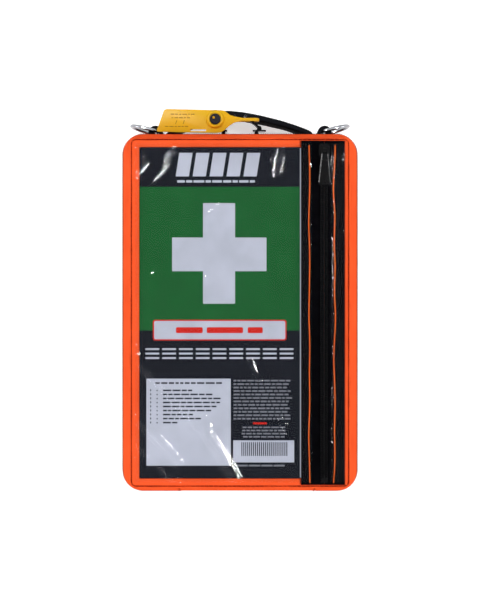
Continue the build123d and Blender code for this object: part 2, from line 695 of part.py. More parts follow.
def pack(left, right, low_y, high_y, low, high):
    """A sealed soft pack: a rounded body inside a flat heat-sealed rim."""
    size_x = right - left
    size_y = high_y - low_y
    middle = ((left + right) / 2, (low_y + high_y) / 2)
    with BuildSketch(Plane.XY.offset(low)) as body:
        with Locations(middle):
            RectangleRounded(size_x - 2 * PACK_RIM, size_y - 2 * PACK_SEAL, PACK_SEAL)
    extrude(body.sketch, amount=high - low)
    with BuildSketch(Plane.XY.offset((low + high - PACK_RIM) / 2)) as rim:
        with Locations(middle):
            RectangleRounded(size_x, size_y, PACK_ROUNDING)
    extrude(rim.sketch, amount=PACK_RIM)


COLUMN_SPLIT = INSIDE_X - DRESSING_WIDTH - SIDE_GAP
PACK_END = INSIDE_Y - END_ROOM
PACK_SIDE = INSIDE_X - STACK_GAP
GLOVES_START = PACK_END - GLOVES_LENGTH
GAUZE_START = DRESSING_LENGTH - PACK_END + SIDE_GAP
GAUZE_TOP = PACK_LOW + GAUZE_THICKNESS

with BuildPart() as bandage_pack:
    pack(-PACK_SIDE, COLUMN_SPLIT - SIDE_GAP, -PACK_END, GLOVES_START - SIDE_GAP, PACK_LOW, PACK_TOP)

with BuildPart() as dressing_pack:
    pack(COLUMN_SPLIT, PACK_SIDE, -PACK_END, DRESSING_LENGTH - PACK_END, PACK_LOW, PACK_TOP)

with BuildPart() as gauze_pack:
    pack(COLUMN_SPLIT, PACK_SIDE, GAUZE_START, PACK_END, PACK_LOW, GAUZE_TOP)

with BuildPart() as glove_packs:
    middle_level = (PACK_LOW + PACK_TOP) / 2
    for low, high in (
        (PACK_LOW, middle_level - STACK_GAP / 2),
        (middle_level + STACK_GAP / 2, PACK_TOP),
    ):
        pack(-PACK_SIDE, COLUMN_SPLIT - SIDE_GAP, GLOVES_START, PACK_END, low, high)

with BuildPart() as spare_seals:
    spare_middle = (COLUMN_SPLIT + PACK_SIDE) / 2
    spare_wall_y = INSIDE_Y + BELLY * (GAUZE_TOP + STACK_GAP - WALL) / (REAR_TAPE_LOW - WALL)
    spare_plate_y = spare_wall_y - SPARE_END_GAP - SPARE_TAIL - SPARE_PLATE_LENGTH / 2
    for count in range(SPARE_COUNT):
        level = GAUZE_TOP + STACK_GAP + count * (TAG_THICKNESS + STACK_GAP)
        with BuildSketch(Plane.XY.offset(level)):
            with Locations((spare_middle, spare_plate_y)):
                RectangleRounded(SPARE_PLATE_WIDTH, SPARE_PLATE_LENGTH, TAG_CORNER)
                with Locations((0, (SPARE_PLATE_LENGTH + SPARE_TAIL) / 2)):
                    Rectangle(TAIL_WIDTH, SPARE_TAIL)
        extrude(amount=TAG_THICKNESS)

# ---- Tourniquet ----

with BuildPart() as tourniquet_strap:
    with BuildSketch(Plane.YZ.offset(TOURNIQUET_X - STRAP_WIDTH / 2)):
        with Locations((0, (STRAP_LOW + STRAP_TOP) / 2)):
            SlotOverall(STRAP_LENGTH, STRAP_STACK)
        with Locations((0, STRAP_TOP)):
            Rectangle(STRAP_LENGTH / 2, STRAP_PLY, align=(Align.MIN, Align.MIN))
            Rectangle(STRAP_LENGTH / 2 + TONGUE_REACH, STRAP_PLY, align=(Align.MAX, Align.MIN))
    extrude(amount=STRAP_WIDTH)

with BuildPart() as tourniquet_base_plate:
    with BuildSketch(Plane.XY.offset(TONGUE_TOP)):
        with Locations((TOURNIQUET_X, 0)):
            RectangleRounded(BASE_WIDTH, BASE_LENGTH, RIBBON_WIDTH / 4)
    extrude(amount=BASE_THICKNESS)

with BuildPart() as tourniquet_ribbon:
    with BuildSketch(Plane.XY.offset(BASE_TOP)):
        with Locations((TOURNIQUET_X, 0)):
            Rectangle(RIBBON_WIDTH, RIBBON_LENGTH)
    extrude(amount=RIBBON_THICKNESS)

with BuildPart() as tourniquet_time_strap:
    with BuildSketch(Plane.XY.offset(BASE_TOP)):
        with Locations((TOURNIQUET_X, -KEEPER_Y)):
            Rectangle(TIME_STRAP_WIDTH, TIME_STRAP_LENGTH)
    extrude(amount=TIME_STRAP_THICKNESS)

with BuildPart() as tourniquet_keeper:
    keeper_left = TOURNIQUET_X - ROD_RADIUS - ROD_GAP
    keeper_right = TOURNIQUET_X + KEEPER_MOUTH
    with BuildSketch(Plane.XZ.offset(KEEPER_LENGTH / 2 - KEEPER_Y)):
        with Locations((keeper_right, BASE_TOP)):
            Rectangle(
                keeper_right - keeper_left + KEEPER_WALL, KEEPER_TOP - BASE_TOP, align=(Align.MAX, Align.MIN)
            )
        with Locations((keeper_right, RIBBON_TOP)):
            Rectangle(
                keeper_right - keeper_left,
                KEEPER_TOP - KEEPER_ROOF - RIBBON_TOP,
                align=(Align.MAX, Align.MIN),
                mode=Mode.SUBTRACT,
            )
    extrude(amount=-KEEPER_LENGTH)
    fillet(tourniquet_keeper.edges().filter_by(Axis.Y).group_by(Axis.X)[0], radius=KEEPER_ROOF)

with BuildPart() as tourniquet_windlass:
    with BuildSketch(Plane.YZ.offset(TOURNIQUET_X)) as rod_section:
        with BuildLine():
            Polyline(
                (-ROD_LENGTH / 2, ROD_LEVEL),
                (ROD_LENGTH / 2, ROD_LEVEL),
                (ROD_LENGTH / 2, ROD_LEVEL + ROD_RADIUS),
                (-ROD_LENGTH / 2, ROD_LEVEL + ROD_RADIUS),
                close=True,
            )
        make_face()
        fillet(rod_section.vertices().group_by(Axis.Y)[-1], radius=ROD_RADIUS / 2)
        for end in (-1, 1):
            for groove in (4, 5, 6, 7):
                with Locations((end * groove * ROD_RADIUS, ROD_LEVEL + ROD_RADIUS)):
                    Rectangle(ROD_RADIUS / 4, 2 * GRIP_GROOVE, mode=Mode.SUBTRACT)
    revolve(axis=Axis((TOURNIQUET_X, 0, ROD_LEVEL), (0, 1, 0)))
    with BuildSketch(Plane.XY.offset(ROD_LEVEL - ROD_RADIUS)):
        with Locations((TOURNIQUET_X, 0)):
            SlotOverall(ROD_SLOT_LENGTH, ROD_SLOT_WIDTH, rotation=90)
    extrude(amount=2 * ROD_RADIUS, mode=Mode.SUBTRACT)

with BuildPart() as tourniquet_ribbon_loop:
    with BuildSketch(Plane.XY.offset(RIBBON_TOP + STACK_GAP)):
        with Locations((TOURNIQUET_X, 0)):
            Rectangle(ROD_SLOT_WIDTH - 2 * STACK_GAP, ROD_SLOT_LENGTH - 2 * ROD_SLOT_WIDTH)
    extrude(amount=ROD_TOP - RIBBON_TOP - STACK_GAP)

with BuildPart() as tourniquet_buckle:
    buckle_low = TONGUE_TOP - STRAP_PLY / 2 - BUCKLE_THICKNESS / 2
    buckle_y = BUCKLE_LENGTH / 2 + STACK_GAP - STRAP_LENGTH / 2 - TONGUE_REACH
    with BuildSketch(Plane.XY.offset(buckle_low)):
        with Locations((TOURNIQUET_X, buckle_y)):
            RectangleRounded(BUCKLE_WIDTH, BUCKLE_LENGTH, BUCKLE_WINDOW / 2)
            with GridLocations(0, BUCKLE_LENGTH / 2, 1, 2):
                Rectangle(STRAP_WIDTH, BUCKLE_WINDOW, mode=Mode.SUBTRACT)
    extrude(amount=BUCKLE_THICKNESS)
    with BuildSketch(Plane.XZ.offset(-buckle_y)):
        with Locations((TOURNIQUET_X, TONGUE_TOP - STRAP_PLY / 2)):
            Rectangle(STRAP_WIDTH + 2 * STACK_GAP, STRAP_PLY + 2 * STACK_GAP)
    extrude(amount=BUCKLE_LENGTH, both=True, mode=Mode.SUBTRACT)

# ---- Wound wash ampoules and marker ----

AMPOULE_LOW = PACK_TOP + STACK_GAP
AMPOULE_LEVEL = AMPOULE_LOW + AMPOULE_THICKNESS / 2
NECK_Y = AMPOULE_END_Y + AMPOULE_LENGTH
AMPOULE_PLACES = ((AMPOULE_LEFT_X, 0), (AMPOULE_RIGHT_X, 0))

with BuildPart() as ampoules:
    with BuildSketch(Plane.XY.offset(AMPOULE_LOW)):
        with Locations(*AMPOULE_PLACES):
            with Locations((0, AMPOULE_END_Y)):
                RectangleRounded(
                    AMPOULE_WIDTH, AMPOULE_LENGTH, AMPOULE_WIDTH / 5, align=(Align.CENTER, Align.MIN)
                )
    extrude(amount=AMPOULE_THICKNESS)
    fillet(ampoules.edges().group_by(Axis.Z)[-1], radius=AMPOULE_THICKNESS / 4)
    fillet(ampoules.edges().group_by(Axis.Z)[0], radius=AMPOULE_THICKNESS / 4)
    with BuildSketch(Plane.XZ.offset(-NECK_Y)):
        with Locations((AMPOULE_LEFT_X, AMPOULE_LEVEL), (AMPOULE_RIGHT_X, AMPOULE_LEVEL)):
            Circle(NECK_RADIUS)
    extrude(amount=-NECK_LENGTH)

with BuildPart() as ampoule_caps:
    with BuildSketch(Plane.XY.offset(AMPOULE_LEVEL - CAP_TAB_THICKNESS / 2)):
        with Locations(*AMPOULE_PLACES):
            with Locations((0, NECK_Y + NECK_LENGTH)):
                RectangleRounded(
                    CAP_TAB_WIDTH, CAP_TAB_LENGTH, CAP_TAB_THICKNESS, align=(Align.CENTER, Align.MIN)
                )
    extrude(amount=CAP_TAB_THICKNESS)

MARKER_SHOULDER_Y = MARKER_END_Y + MARKER_LENGTH
NIB_HOLDER_Y = MARKER_SHOULDER_Y + NIB_HOLDER_LENGTH


def marker_rod(radius, start, length, mode=Mode.ADD):
    """A round of the marker, from start along Y."""
    with BuildSketch(Plane.XZ.offset(-start)) as end:
        with Locations((MARKER_X, MARKER_LEVEL)):
            Circle(radius)
    extrude(end.sketch, amount=-length, mode=mode)


with BuildPart() as marker_body:
    marker_rod(MARKER_RADIUS, MARKER_END_Y, MARKER_LENGTH)
    marker_rod(NIB_HOLDER_RADIUS, MARKER_SHOULDER_Y, NIB_HOLDER_LENGTH)
    marker_rod(NIB_RADIUS, NIB_HOLDER_Y, NIB_LENGTH)

with BuildPart() as marker_cap:
    cap_start = MARKER_SHOULDER_Y - MARKER_CAP_LAP
    bore = MARKER_RADIUS + MARKER_CLEARANCE
    marker_rod(bore + MARKER_CAP_WALL, cap_start, MARKER_CAP_LENGTH)
    marker_rod(bore, cap_start, MARKER_CAP_LENGTH - MARKER_CAP_END, Mode.SUBTRACT)

# ---- Trauma shears ----


def blade_outline(side):
    """One blade with its tang, about the pivot. The tang runs to the given side."""
    with BuildLine() as outline:
        Polyline(
            (side * 3, -30),
            (side * 10, -30),
            (side * 8, -8),
            (side * 7, 4),
            (side * 3, 12),
            (side * 2, 70),
            (0, 76),
            (side * -4, 60),
            (side * -7, 10),
            (side * -6, -4),
            close=True,
        )
    make_face(outline.edges())


def shears_plane(level):
    """Plane through the shears' pivot at a level."""
    return Plane((SHEARS_X, SHEARS_Y, level))


def blade(side, level, hole, mode=Mode.ADD):
    """A blade at its level, with the pivot hole."""
    with BuildSketch(shears_plane(level)) as outline:
        blade_outline(side)
        Circle(hole, mode=Mode.SUBTRACT)
    extrude(outline.sketch, amount=BLADE_THICKNESS, mode=mode)


def handle(side, blade_level):
    """A moulded finger loop round the tang of its blade."""
    with BuildLine() as arm:
        Polyline((side * 3.4, -15), (side * 11, -14), (side * 13, -32), (side * 5, -32), close=True)
    with BuildSketch(shears_plane(SHEARS_LOW)) as outline:
        make_face(arm.edges())
        with Locations((side * GRIP_X, GRIP_Y)):
            SlotOverall(GRIP_LENGTH, GRIP_WIDTH, rotation=90)
            SlotOverall(
                GRIP_LENGTH - 2 * GRIP_BAND, GRIP_WIDTH - 2 * GRIP_BAND, rotation=90, mode=Mode.SUBTRACT
            )
    extrude(outline.sketch, amount=SHEARS_THICKNESS)
    blade(side, blade_level, SCREW_RADIUS, Mode.SUBTRACT)


with BuildPart() as shears_blade_fixed:
    blade(-1, LOWER_BLADE, SCREW_RADIUS)

with BuildPart() as shears_blade_moving:
    blade(1, UPPER_BLADE, SCREW_RADIUS + SCREW_CLEARANCE)

with BuildPart() as shears_handle_fixed:
    handle(-1, LOWER_BLADE)

with BuildPart() as shears_handle_moving:
    handle(1, UPPER_BLADE)

with BuildPart() as shears_screw:
    for radius, low, high in (
        (SCREW_HEAD_RADIUS, LOWER_BLADE - SCREW_HEAD, LOWER_BLADE),
        (SCREW_RADIUS, LOWER_BLADE, UPPER_BLADE + BLADE_THICKNESS + SCREW_CLEARANCE),
        (
            SCREW_HEAD_RADIUS,
            UPPER_BLADE + BLADE_THICKNESS + SCREW_CLEARANCE,
            UPPER_BLADE + BLADE_THICKNESS + SCREW_HEAD,
        ),
    ):
        with BuildSketch(Plane.XY.offset(low)):
            with Locations((SHEARS_X, SHEARS_Y)):
                Circle(radius)
        extrude(amount=high - low)

# ---- Write every piece to its own file ----

PIECES = {
    "back_panel": back_panel,
    "back_binding": back_binding,
    "rear_gusset": rear_gusset,
    "hinge_panel_rear": hinge_panel_rear,
    "hinge_panel_front": hinge_panel_front,
    "front_gusset": front_gusset,
    "front_panel": front_panel,
    "front_binding": front_binding,
    "main_zip_tape_rear": main_zip_tape_rear,
    "main_zip_tape_front": main_zip_tape_front,
    "main_zip_coil_rear": main_zip_coil_rear,
    "main_zip_coil_front": main_zip_coil_front,
    "main_zip_slider_left": main_zip_slider_left,
    "main_zip_slider_right": main_zip_slider_right,
    "main_zip_pull_left": main_zip_pull_left,
    "main_zip_pull_right": main_zip_pull_right,
    "insert_card": insert_card,
    "window_pane_left": window_pane_left,
    "window_pane_right": window_pane_right,
    "front_zip_tape_left": front_zip_tape_left,
    "front_zip_tape_right": front_zip_tape_right,
    "front_zip_coil_left": front_zip_coil_left,
    "front_zip_coil_right": front_zip_coil_right,
    "front_zip_stops": front_zip_stops,
    "front_zip_slider": front_zip_slider,
    "front_zip_pull": front_zip_pull,
    "d_ring_loop_left": d_ring_loop_left,
    "d_ring_loop_right": d_ring_loop_right,
    "d_ring_left": d_ring_left,
    "d_ring_right": d_ring_right,
    "handle_tabs": handle_tabs,
    "carry_handle": carry_handle,
    "seal_tag": seal_tag,
    "seal_lock_insert": seal_lock_insert,
    "seal_tail": seal_tail,
    "bandage_pack": bandage_pack,
    "dressing_pack": dressing_pack,
    "gauze_pack": gauze_pack,
    "glove_packs": glove_packs,
    "spare_seals": spare_seals,
    "tourniquet_strap": tourniquet_strap,
    "tourniquet_base_plate": tourniquet_base_plate,
    "tourniquet_ribbon": tourniquet_ribbon,
    "tourniquet_ribbon_loop": tourniquet_ribbon_loop,
    "tourniquet_windlass": tourniquet_windlass,
    "tourniquet_keeper": tourniquet_keeper,
    "tourniquet_time_strap": tourniquet_time_strap,
    "tourniquet_buckle": tourniquet_buckle,
    "ampoules": ampoules,
    "ampoule_caps": ampoule_caps,
    "marker_body": marker_body,
    "marker_cap": marker_cap,
    "shears_blade_fixed": shears_blade_fixed,
    "shears_blade_moving": shears_blade_moving,
    "shears_handle_fixed": shears_handle_fixed,
    "shears_handle_moving": shears_handle_moving,
    "shears_screw": shears_screw,
}

os.makedirs("parts", exist_ok=True)
for name, piece in PIECES.items():
    piece.part.label = name
    export_step(piece.part, f"parts/{name}.step")
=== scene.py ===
import math
import random

import bmesh
import bpy
from mathutils import Matrix, Vector, noise


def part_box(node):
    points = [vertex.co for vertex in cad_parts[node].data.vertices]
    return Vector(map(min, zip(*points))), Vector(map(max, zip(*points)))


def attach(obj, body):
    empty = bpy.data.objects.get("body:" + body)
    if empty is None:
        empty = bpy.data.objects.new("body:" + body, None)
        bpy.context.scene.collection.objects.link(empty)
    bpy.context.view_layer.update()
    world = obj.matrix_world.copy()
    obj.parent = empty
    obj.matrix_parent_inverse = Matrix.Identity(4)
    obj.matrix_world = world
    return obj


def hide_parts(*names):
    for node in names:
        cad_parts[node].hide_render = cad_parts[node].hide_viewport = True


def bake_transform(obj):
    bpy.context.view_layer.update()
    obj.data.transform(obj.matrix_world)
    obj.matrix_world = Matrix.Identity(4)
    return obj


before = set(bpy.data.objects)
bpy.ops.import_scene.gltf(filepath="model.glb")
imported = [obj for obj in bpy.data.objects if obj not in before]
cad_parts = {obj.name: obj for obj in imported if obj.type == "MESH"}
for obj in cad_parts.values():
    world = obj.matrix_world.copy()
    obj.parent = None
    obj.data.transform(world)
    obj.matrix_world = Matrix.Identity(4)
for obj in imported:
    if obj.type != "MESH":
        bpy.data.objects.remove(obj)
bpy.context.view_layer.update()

MM = 0.001
TINY = 1e-6
SEED = 7

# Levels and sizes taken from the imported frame, in metres.
panel_low, panel_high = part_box("front_panel")
card_low, card_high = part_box("insert_card")
pane_low, pane_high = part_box("window_pane_left")
right_pane_low, right_pane_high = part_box("window_pane_right")
rear_tape_low, rear_tape_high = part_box("main_zip_tape_rear")
front_tape_low, front_tape_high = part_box("main_zip_tape_front")
hinge_low, hinge_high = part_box("hinge_panel_rear")
handle_low, handle_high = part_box("carry_handle")

SEAM_WIDTH = panel_high.x - panel_low.x
SEAM_HEIGHT = panel_high.y - panel_low.y
SEAM_RADIUS = 3.6 * MM
BELLY_WIDTH = rear_tape_high.x - rear_tape_low.x
TUCK = 1.0 * MM      # how far the filled pouch draws in its short walls
BELLY_HEIGHT = rear_tape_high.y - rear_tape_low.y - 2 * TUCK
BELLY_RADIUS = 13 * MM
WALL = panel_high.z - panel_low.z
TAPE = 0.7 * MM

SHORT_CUTS = 46      # along the short sides of the pouch
LONG_CUTS = 74       # along the long sides
CORNER_CUTS = 7


# ---- Finishes ----


def paint(red, green, blue):
    """A colour from its levels out of 255."""
    return tuple(((level / 255 + 0.055) / 1.055) ** 2.4 for level in (red, green, blue)) + (1.0,)


def shade(colour, factor):
    """The same colour, lighter or darker."""
    return tuple(min(1.0, level * factor) for level in colour[:3]) + (1.0,)


def finish(name, colour, roughness, **sockets):
    """A new material. Words in sockets are socket names with _ for the spaces."""
    material = bpy.data.materials.new(name)
    material.use_nodes = True
    shader = material.node_tree.nodes["Principled BSDF"]
    shader.inputs["Base Color"].default_value = colour
    shader.inputs["Roughness"].default_value = roughness
    for word, value in sockets.items():
        shader.inputs[word.replace("_", " ")].default_value = value
    return material


def node(material, kind, **settings):
    """A node of a material or of the world, with its properties set."""
    made = material.node_tree.nodes.new(kind)
    for word, value in settings.items():
        setattr(made, word, value)
    return made


def join(material, output, socket):
    material.node_tree.links.new(output, socket)


def shader_of(material):
    return material.node_tree.nodes["Principled BSDF"]


def place_on(material):
    """Object coordinates, in metres."""
    return node(material, "ShaderNodeTexCoord").outputs["Object"]


def grain(material, size, detail=5.0):
    """Uneven value from 0 to 1, in patches of about that size."""
    pattern = node(material, "ShaderNodeTexNoise")
    pattern.inputs["Scale"].default_value = 1 / size
    pattern.inputs["Detail"].default_value = detail
    join(material, place_on(material), pattern.inputs["Vector"])
    return pattern.outputs["Fac"]


def mottle(material, colour, darker, lighter, size):
    """Colour that drifts between a darker and a lighter shade of itself."""
    ramp = node(material, "ShaderNodeValToRGB")
    for element, position, factor in zip(ramp.color_ramp.elements, (0.3, 0.7), (darker, lighter)):
        element.position = position
        element.color = shade(colour, factor)
    join(material, grain(material, size, 3.0), ramp.inputs["Fac"])
    join(material, ramp.outputs["Color"], shader_of(material).inputs["Base Color"])


def spread_of(material, value, low, high):
    """A value from 0 to 1, spread between two others."""
    spread = node(material, "ShaderNodeMapRange")
    spread.inputs["To Min"].default_value = low
    spread.inputs["To Max"].default_value = high
    join(material, value, spread.inputs["Value"])
    return spread.outputs["Result"]


def ribs(material, direction, pitch, turn=0.0):
    """Height of straight ribs at a pitch, their row turned about z."""
    wave = node(material, "ShaderNodeTexWave", wave_type="BANDS", bands_direction=direction)
    wave.inputs["Scale"].default_value = math.tau / (20 * pitch)
    wave.inputs["Distortion"].default_value = 0.0
    turned = node(material, "ShaderNodeMapping")
    turned.inputs["Rotation"].default_value = (0, 0, turn)
    join(material, place_on(material), turned.inputs["Vector"])
    join(material, turned.outputs["Vector"], wave.inputs["Vector"])
    return wave.outputs["Fac"]


def raised(material, heights, depth, strength=0.6, shader=None):
    """Adds the heights and raises the surface by them."""
    total = heights[0]
    for height in heights[1:]:
        adder = node(material, "ShaderNodeMath", operation="ADD")
        join(material, total, adder.inputs[0])
        join(material, height, adder.inputs[1])
        total = adder.outputs[0]
    bump = node(material, "ShaderNodeBump")
    bump.inputs["Strength"].default_value = strength
    bump.inputs["Distance"].default_value = depth
    join(material, total, bump.inputs["Height"])
    join(material, bump.outputs["Normal"], (shader or shader_of(material)).inputs["Normal"])


def weave(material, pitch, depth):
    """A plain weave that shows on every side of a piece."""
    threads = [ribs(material, direction, pitch) for direction in "XYZ"]
    raised(material, threads + [grain(material, 9 * MM)], depth)


def cloth_finish(name, colour, pitch, depth, spread=0.12, patch=26 * MM, roughness=0.72, gloss=0.0):
    material = finish(name, colour, roughness, Specular_IOR_Level=gloss)
    mottle(material, colour, 1 - spread, 1 + spread, patch)
    weave(material, pitch, depth)
    return material


def moulded_finish(name, colour, roughness, spread=0.08, gloss=0.08):
    material = finish(name, colour, roughness, Specular_IOR_Level=gloss)
    mottle(material, colour, 1 - spread, 1 + spread, 12 * MM)
    raised(material, [grain(material, 1.5 * MM)], 0.05 * MM)
    return material


def metal_finish(name, colour, rough_low, rough_high, scratch):
    """Metal whose roughness drifts between two values."""
    material = finish(name, colour, rough_low, Metallic=1.0)
    roughness = spread_of(material, grain(material, scratch, 4.0), rough_low, rough_high)
    join(material, roughness, shader_of(material).inputs["Roughness"])
    raised(material, [grain(material, scratch)], 0.02 * MM, 0.3)
    return material


def film_finish(name, colour, roughness):
    material = finish(
        name, colour, roughness, Coat_Weight=0.06, Coat_Roughness=0.08, Specular_IOR_Level=0.1
    )
    mottle(material, colour, 0.86, 1.12, 18 * MM)
    raised(material, [grain(material, 7 * MM, 8.0), grain(material, 2.5 * MM)], 0.5 * MM, 0.5)
    return material


def card_finish(name, colour):
    material = finish(name, colour, 0.42, Specular_IOR_Level=0.0)
    mottle(material, colour, 0.93, 1.07, 14 * MM)
    raised(material, [grain(material, 0.8 * MM)], 0.01 * MM, 0.3)
    return material


def vinyl_finish():
    """Clear film: see-through, with a thin gloss that grows at low angles."""
    material = bpy.data.materials.new("clear_vinyl")
    material.use_nodes = True
    tree = material.node_tree
    tree.nodes.remove(shader_of(material))
    clear = node(material, "ShaderNodeBsdfTransparent")
    clear.inputs["Color"].default_value = (0.965, 0.97, 0.98, 1)
    gloss = node(material, "ShaderNodeBsdfGlossy")
    gloss.inputs["Roughness"].default_value = 0.03
    fresnel = node(material, "ShaderNodeFresnel")
    fresnel.inputs["IOR"].default_value = 1.2
    sides = node(material, "ShaderNodeNewGeometry")
    outer = node(material, "ShaderNodeMath", operation="SUBTRACT")
    outer.inputs[0].default_value = 1.0
    share = node(material, "ShaderNodeMath", operation="MULTIPLY")
    mixed = node(material, "ShaderNodeMixShader")
    raised(material, [grain(material, 22 * MM, 2.0)], 0.3 * MM, 0.5, gloss)
    join(material, sides.outputs["Backfacing"], outer.inputs[1])
    join(material, fresnel.outputs["Fac"], share.inputs[0])
    join(material, outer.outputs[0], share.inputs[1])
    join(material, share.outputs[0], mixed.inputs["Fac"])
    join(material, clear.outputs["BSDF"], mixed.inputs[1])
    join(material, gloss.outputs["BSDF"], mixed.inputs[2])
    join(material, mixed.outputs["Shader"], tree.nodes["Material Output"].inputs["Surface"])
    return material


def webbing_finish(name, colour, pitch=0.9 * MM):
    material = cloth_finish(name, colour, pitch, 0.25 * MM, 0.25, 8 * MM, 0.6, 0.012)
    twill = ribs(material, "DIAGONAL", 2.6 * MM)
    raised(material, [ribs(material, "Z", pitch), twill, ribs(material, "X", pitch)], 0.3 * MM)
    return material


def ampoule_finish():
    material = finish("clear_ampoule", (0.86, 0.93, 0.96, 1), 0.12, IOR=1.45, Transmission_Weight=0.75)
    raised(material, [grain(material, 5 * MM)], 0.1 * MM, 0.3)
    return material


ORANGE = paint(250, 91, 45)
CARD_BLACK = paint(27, 29, 36)
CARD_PALE = paint(186, 189, 201)

FINISH = {
    "orange_fabric": cloth_finish("orange_fabric", ORANGE, 0.55 * MM, 0.12 * MM, 0.09),
    "orange_binding": cloth_finish("orange_binding", shade(ORANGE, 0.97), 0.8 * MM, 0.2 * MM, 0.1, 9 * MM),
    "seam_thread": cloth_finish("seam_thread", paint(120, 30, 16), 0.4 * MM, 0.1 * MM),
    "orange_thread": cloth_finish("orange_thread", paint(255, 108, 38), 0.4 * MM, 0.1 * MM),
    "black_webbing": webbing_finish("black_webbing", paint(15, 17, 23)),
    "black_zip_tape": cloth_finish("black_zip_tape", paint(8, 8, 11), 0.7 * MM, 0.2 * MM, 0.3, 6 * MM, 0.8),
    "black_zip_coil": moulded_finish("black_zip_coil", paint(9, 9, 11), 0.3, gloss=0.015),
    "black_zip_metal": moulded_finish("black_zip_metal", paint(8, 8, 10), 0.13, gloss=0.1),
    "clear_vinyl": vinyl_finish(),
    "card_black": card_finish("card_black", CARD_BLACK),
    "card_green": card_finish("card_green", paint(30, 92, 46)),
    "card_pale": card_finish("card_pale", CARD_PALE),
    "card_red": card_finish("card_red", paint(206, 42, 34)),
    "card_ink": card_finish("card_ink", paint(52, 54, 62)),
    "card_faint": card_finish("card_faint", paint(120, 122, 131)),
    "chrome_wire": metal_finish("chrome_wire", (0.3, 0.31, 0.33, 1), 0.1, 0.24, 3 * MM),
    "yellow_plastic": moulded_finish("yellow_plastic", paint(224, 178, 30), 0.34, 0.04, 0.03),
    "seal_ink": card_finish("seal_ink", paint(158, 124, 36)),
    "dark_insert": moulded_finish("dark_insert", paint(40, 40, 46), 0.2),
    "pack_film": film_finish("pack_film", paint(150, 156, 138), 0.35),
    "pale_film": film_finish("pale_film", paint(226, 228, 232), 0.4),
    "blue_film": film_finish("blue_film", paint(120, 168, 214), 0.3),
    "black_strap": webbing_finish("black_strap", paint(24, 24, 27), 1.2 * MM),
    "black_plastic": moulded_finish("black_plastic", paint(34, 34, 37), 0.45),
    "white_strap": cloth_finish("white_strap", paint(226, 226, 222), 0.6 * MM, 0.1 * MM, 0.04),
    "clear_ampoule": ampoule_finish(),
    "blue_plastic": moulded_finish("blue_plastic", paint(48, 104, 178), 0.3),
    "marker_plastic": moulded_finish("marker_plastic", paint(30, 30, 33), 0.28),
    "blade_steel": metal_finish("blade_steel", (0.62, 0.62, 0.64, 1), 0.2, 0.38, 1 * MM),
    "shears_plastic": moulded_finish("shears_plastic", paint(26, 26, 29), 0.42),
}
CARD_SLOT = "printed_card"


# ---- Making pieces ----


def make_piece(bm, name, body, finishes, stands_for=(), slot=None, smooth_angle=40):
    """Turns a bmesh into a piece that moves with a body."""
    mesh = bpy.data.meshes.new(name)
    bm.to_mesh(mesh)
    bm.free()
    mesh.shade_smooth()
    mesh.set_sharp_from_angle(angle=math.radians(smooth_angle))
    piece = bpy.data.objects.new(name, mesh)
    bpy.context.collection.objects.link(piece)
    for word in finishes:
        mesh.materials.append(FINISH[word])
    if body:
        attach(piece, body)
    if stands_for:
        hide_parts(*stands_for)
    slot or finishes[0]
    return piece


def outwards(bm):
    """Closes a shape's seams and turns its faces outwards."""
    bmesh.ops.remove_doubles(bm, verts=bm.verts, dist=TINY)
    bmesh.ops.recalc_face_normals(bm, faces=bm.faces)


def verts_in(parts):
    return [part for part in parts if isinstance(part, bmesh.types.BMVert)]


def upright_edges(edges):
    return [e for e in edges if abs(e.verts[0].co.z - e.verts[1].co.z) > TINY]


def soften(bm, offset, segments=1, edges=None, clamp=False):
    """Rounds the given edges, or all of them."""
    bmesh.ops.bevel(
        bm,
        geom=edges or bm.edges[:],
        offset=offset,
        affect="EDGES",
        segments=segments,
        profile=0.5,
        clamp_overlap=clamp,
        material=-1,
    )


def add_sheet(bm, cuts, size, centre):
    """A flat grid with so many cells across and up."""
    made = bmesh.ops.create_grid(bm, x_segments=cuts[0], y_segments=cuts[1], size=0.5)["verts"]
    bmesh.ops.scale(bm, vec=(*size, 1), verts=made)
    bmesh.ops.translate(bm, vec=centre, verts=made)
    return made


def add_block(bm, size, centre):
    """A plain block."""
    made = bmesh.ops.create_cube(bm, size=1.0)["verts"]
    bmesh.ops.scale(bm, vec=size, verts=made)
    bmesh.ops.translate(bm, vec=centre, verts=made)
    return made


def at_level(bm, level):
    """Edges that lie at one level."""
    return [e for e in bm.edges if all(abs(v.co.z - level) < TINY for v in e.verts)]


def add_rim(bm, width, height, radius, level):
    """A rounded rectangle of edges at a level."""
    corners = add_sheet(bm, (1, 1), (width, height), (0, 0, level))
    bmesh.ops.bevel(
        bm, geom=corners, offset=radius, affect="VERTICES", segments=CORNER_CUTS, profile=0.5, material=-1
    )
    rim = at_level(bm, level)
    level_faces = [f for f in bm.faces if all(abs(v.co.z - level) < TINY for v in f.verts)]
    bmesh.ops.delete(bm, geom=level_faces, context="FACES_ONLY")
    for axis, cuts in ((1, SHORT_CUTS), (0, LONG_CUTS)):
        sides = [e for e in rim if abs(e.verts[0].co[axis] - e.verts[1].co[axis]) < TINY]
        bmesh.ops.subdivide_edges(bm, edges=sides, cuts=cuts)


def loft(rims, closed=False, cuts=0):
    """Bridges rims, each a width, height, radius and level, in their order."""
    bm = bmesh.new()
    for rim in rims:
        add_rim(bm, *rim)
    bands = list(zip(rims, rims[1:]))
    if closed:
        bands.append((rims[-1], rims[0]))
    for first, second in bands:
        edges = at_level(bm, first[3]) + at_level(bm, second[3])
        made = bmesh.ops.bridge_loops(bm, edges=edges)["edges"]
        if cuts:
            bmesh.ops.subdivide_edges(bm, edges=upright_edges(made), cuts=cuts, use_grid_fill=True)
    outwards(bm)
    return bm


def wrinkle(point, size, seed):
    """Uneven height at a point, from -1 to 1, in folds of about that size."""
    return noise.noise(Vector(point) / size + Vector((seed, seed * 1.7, -seed)))


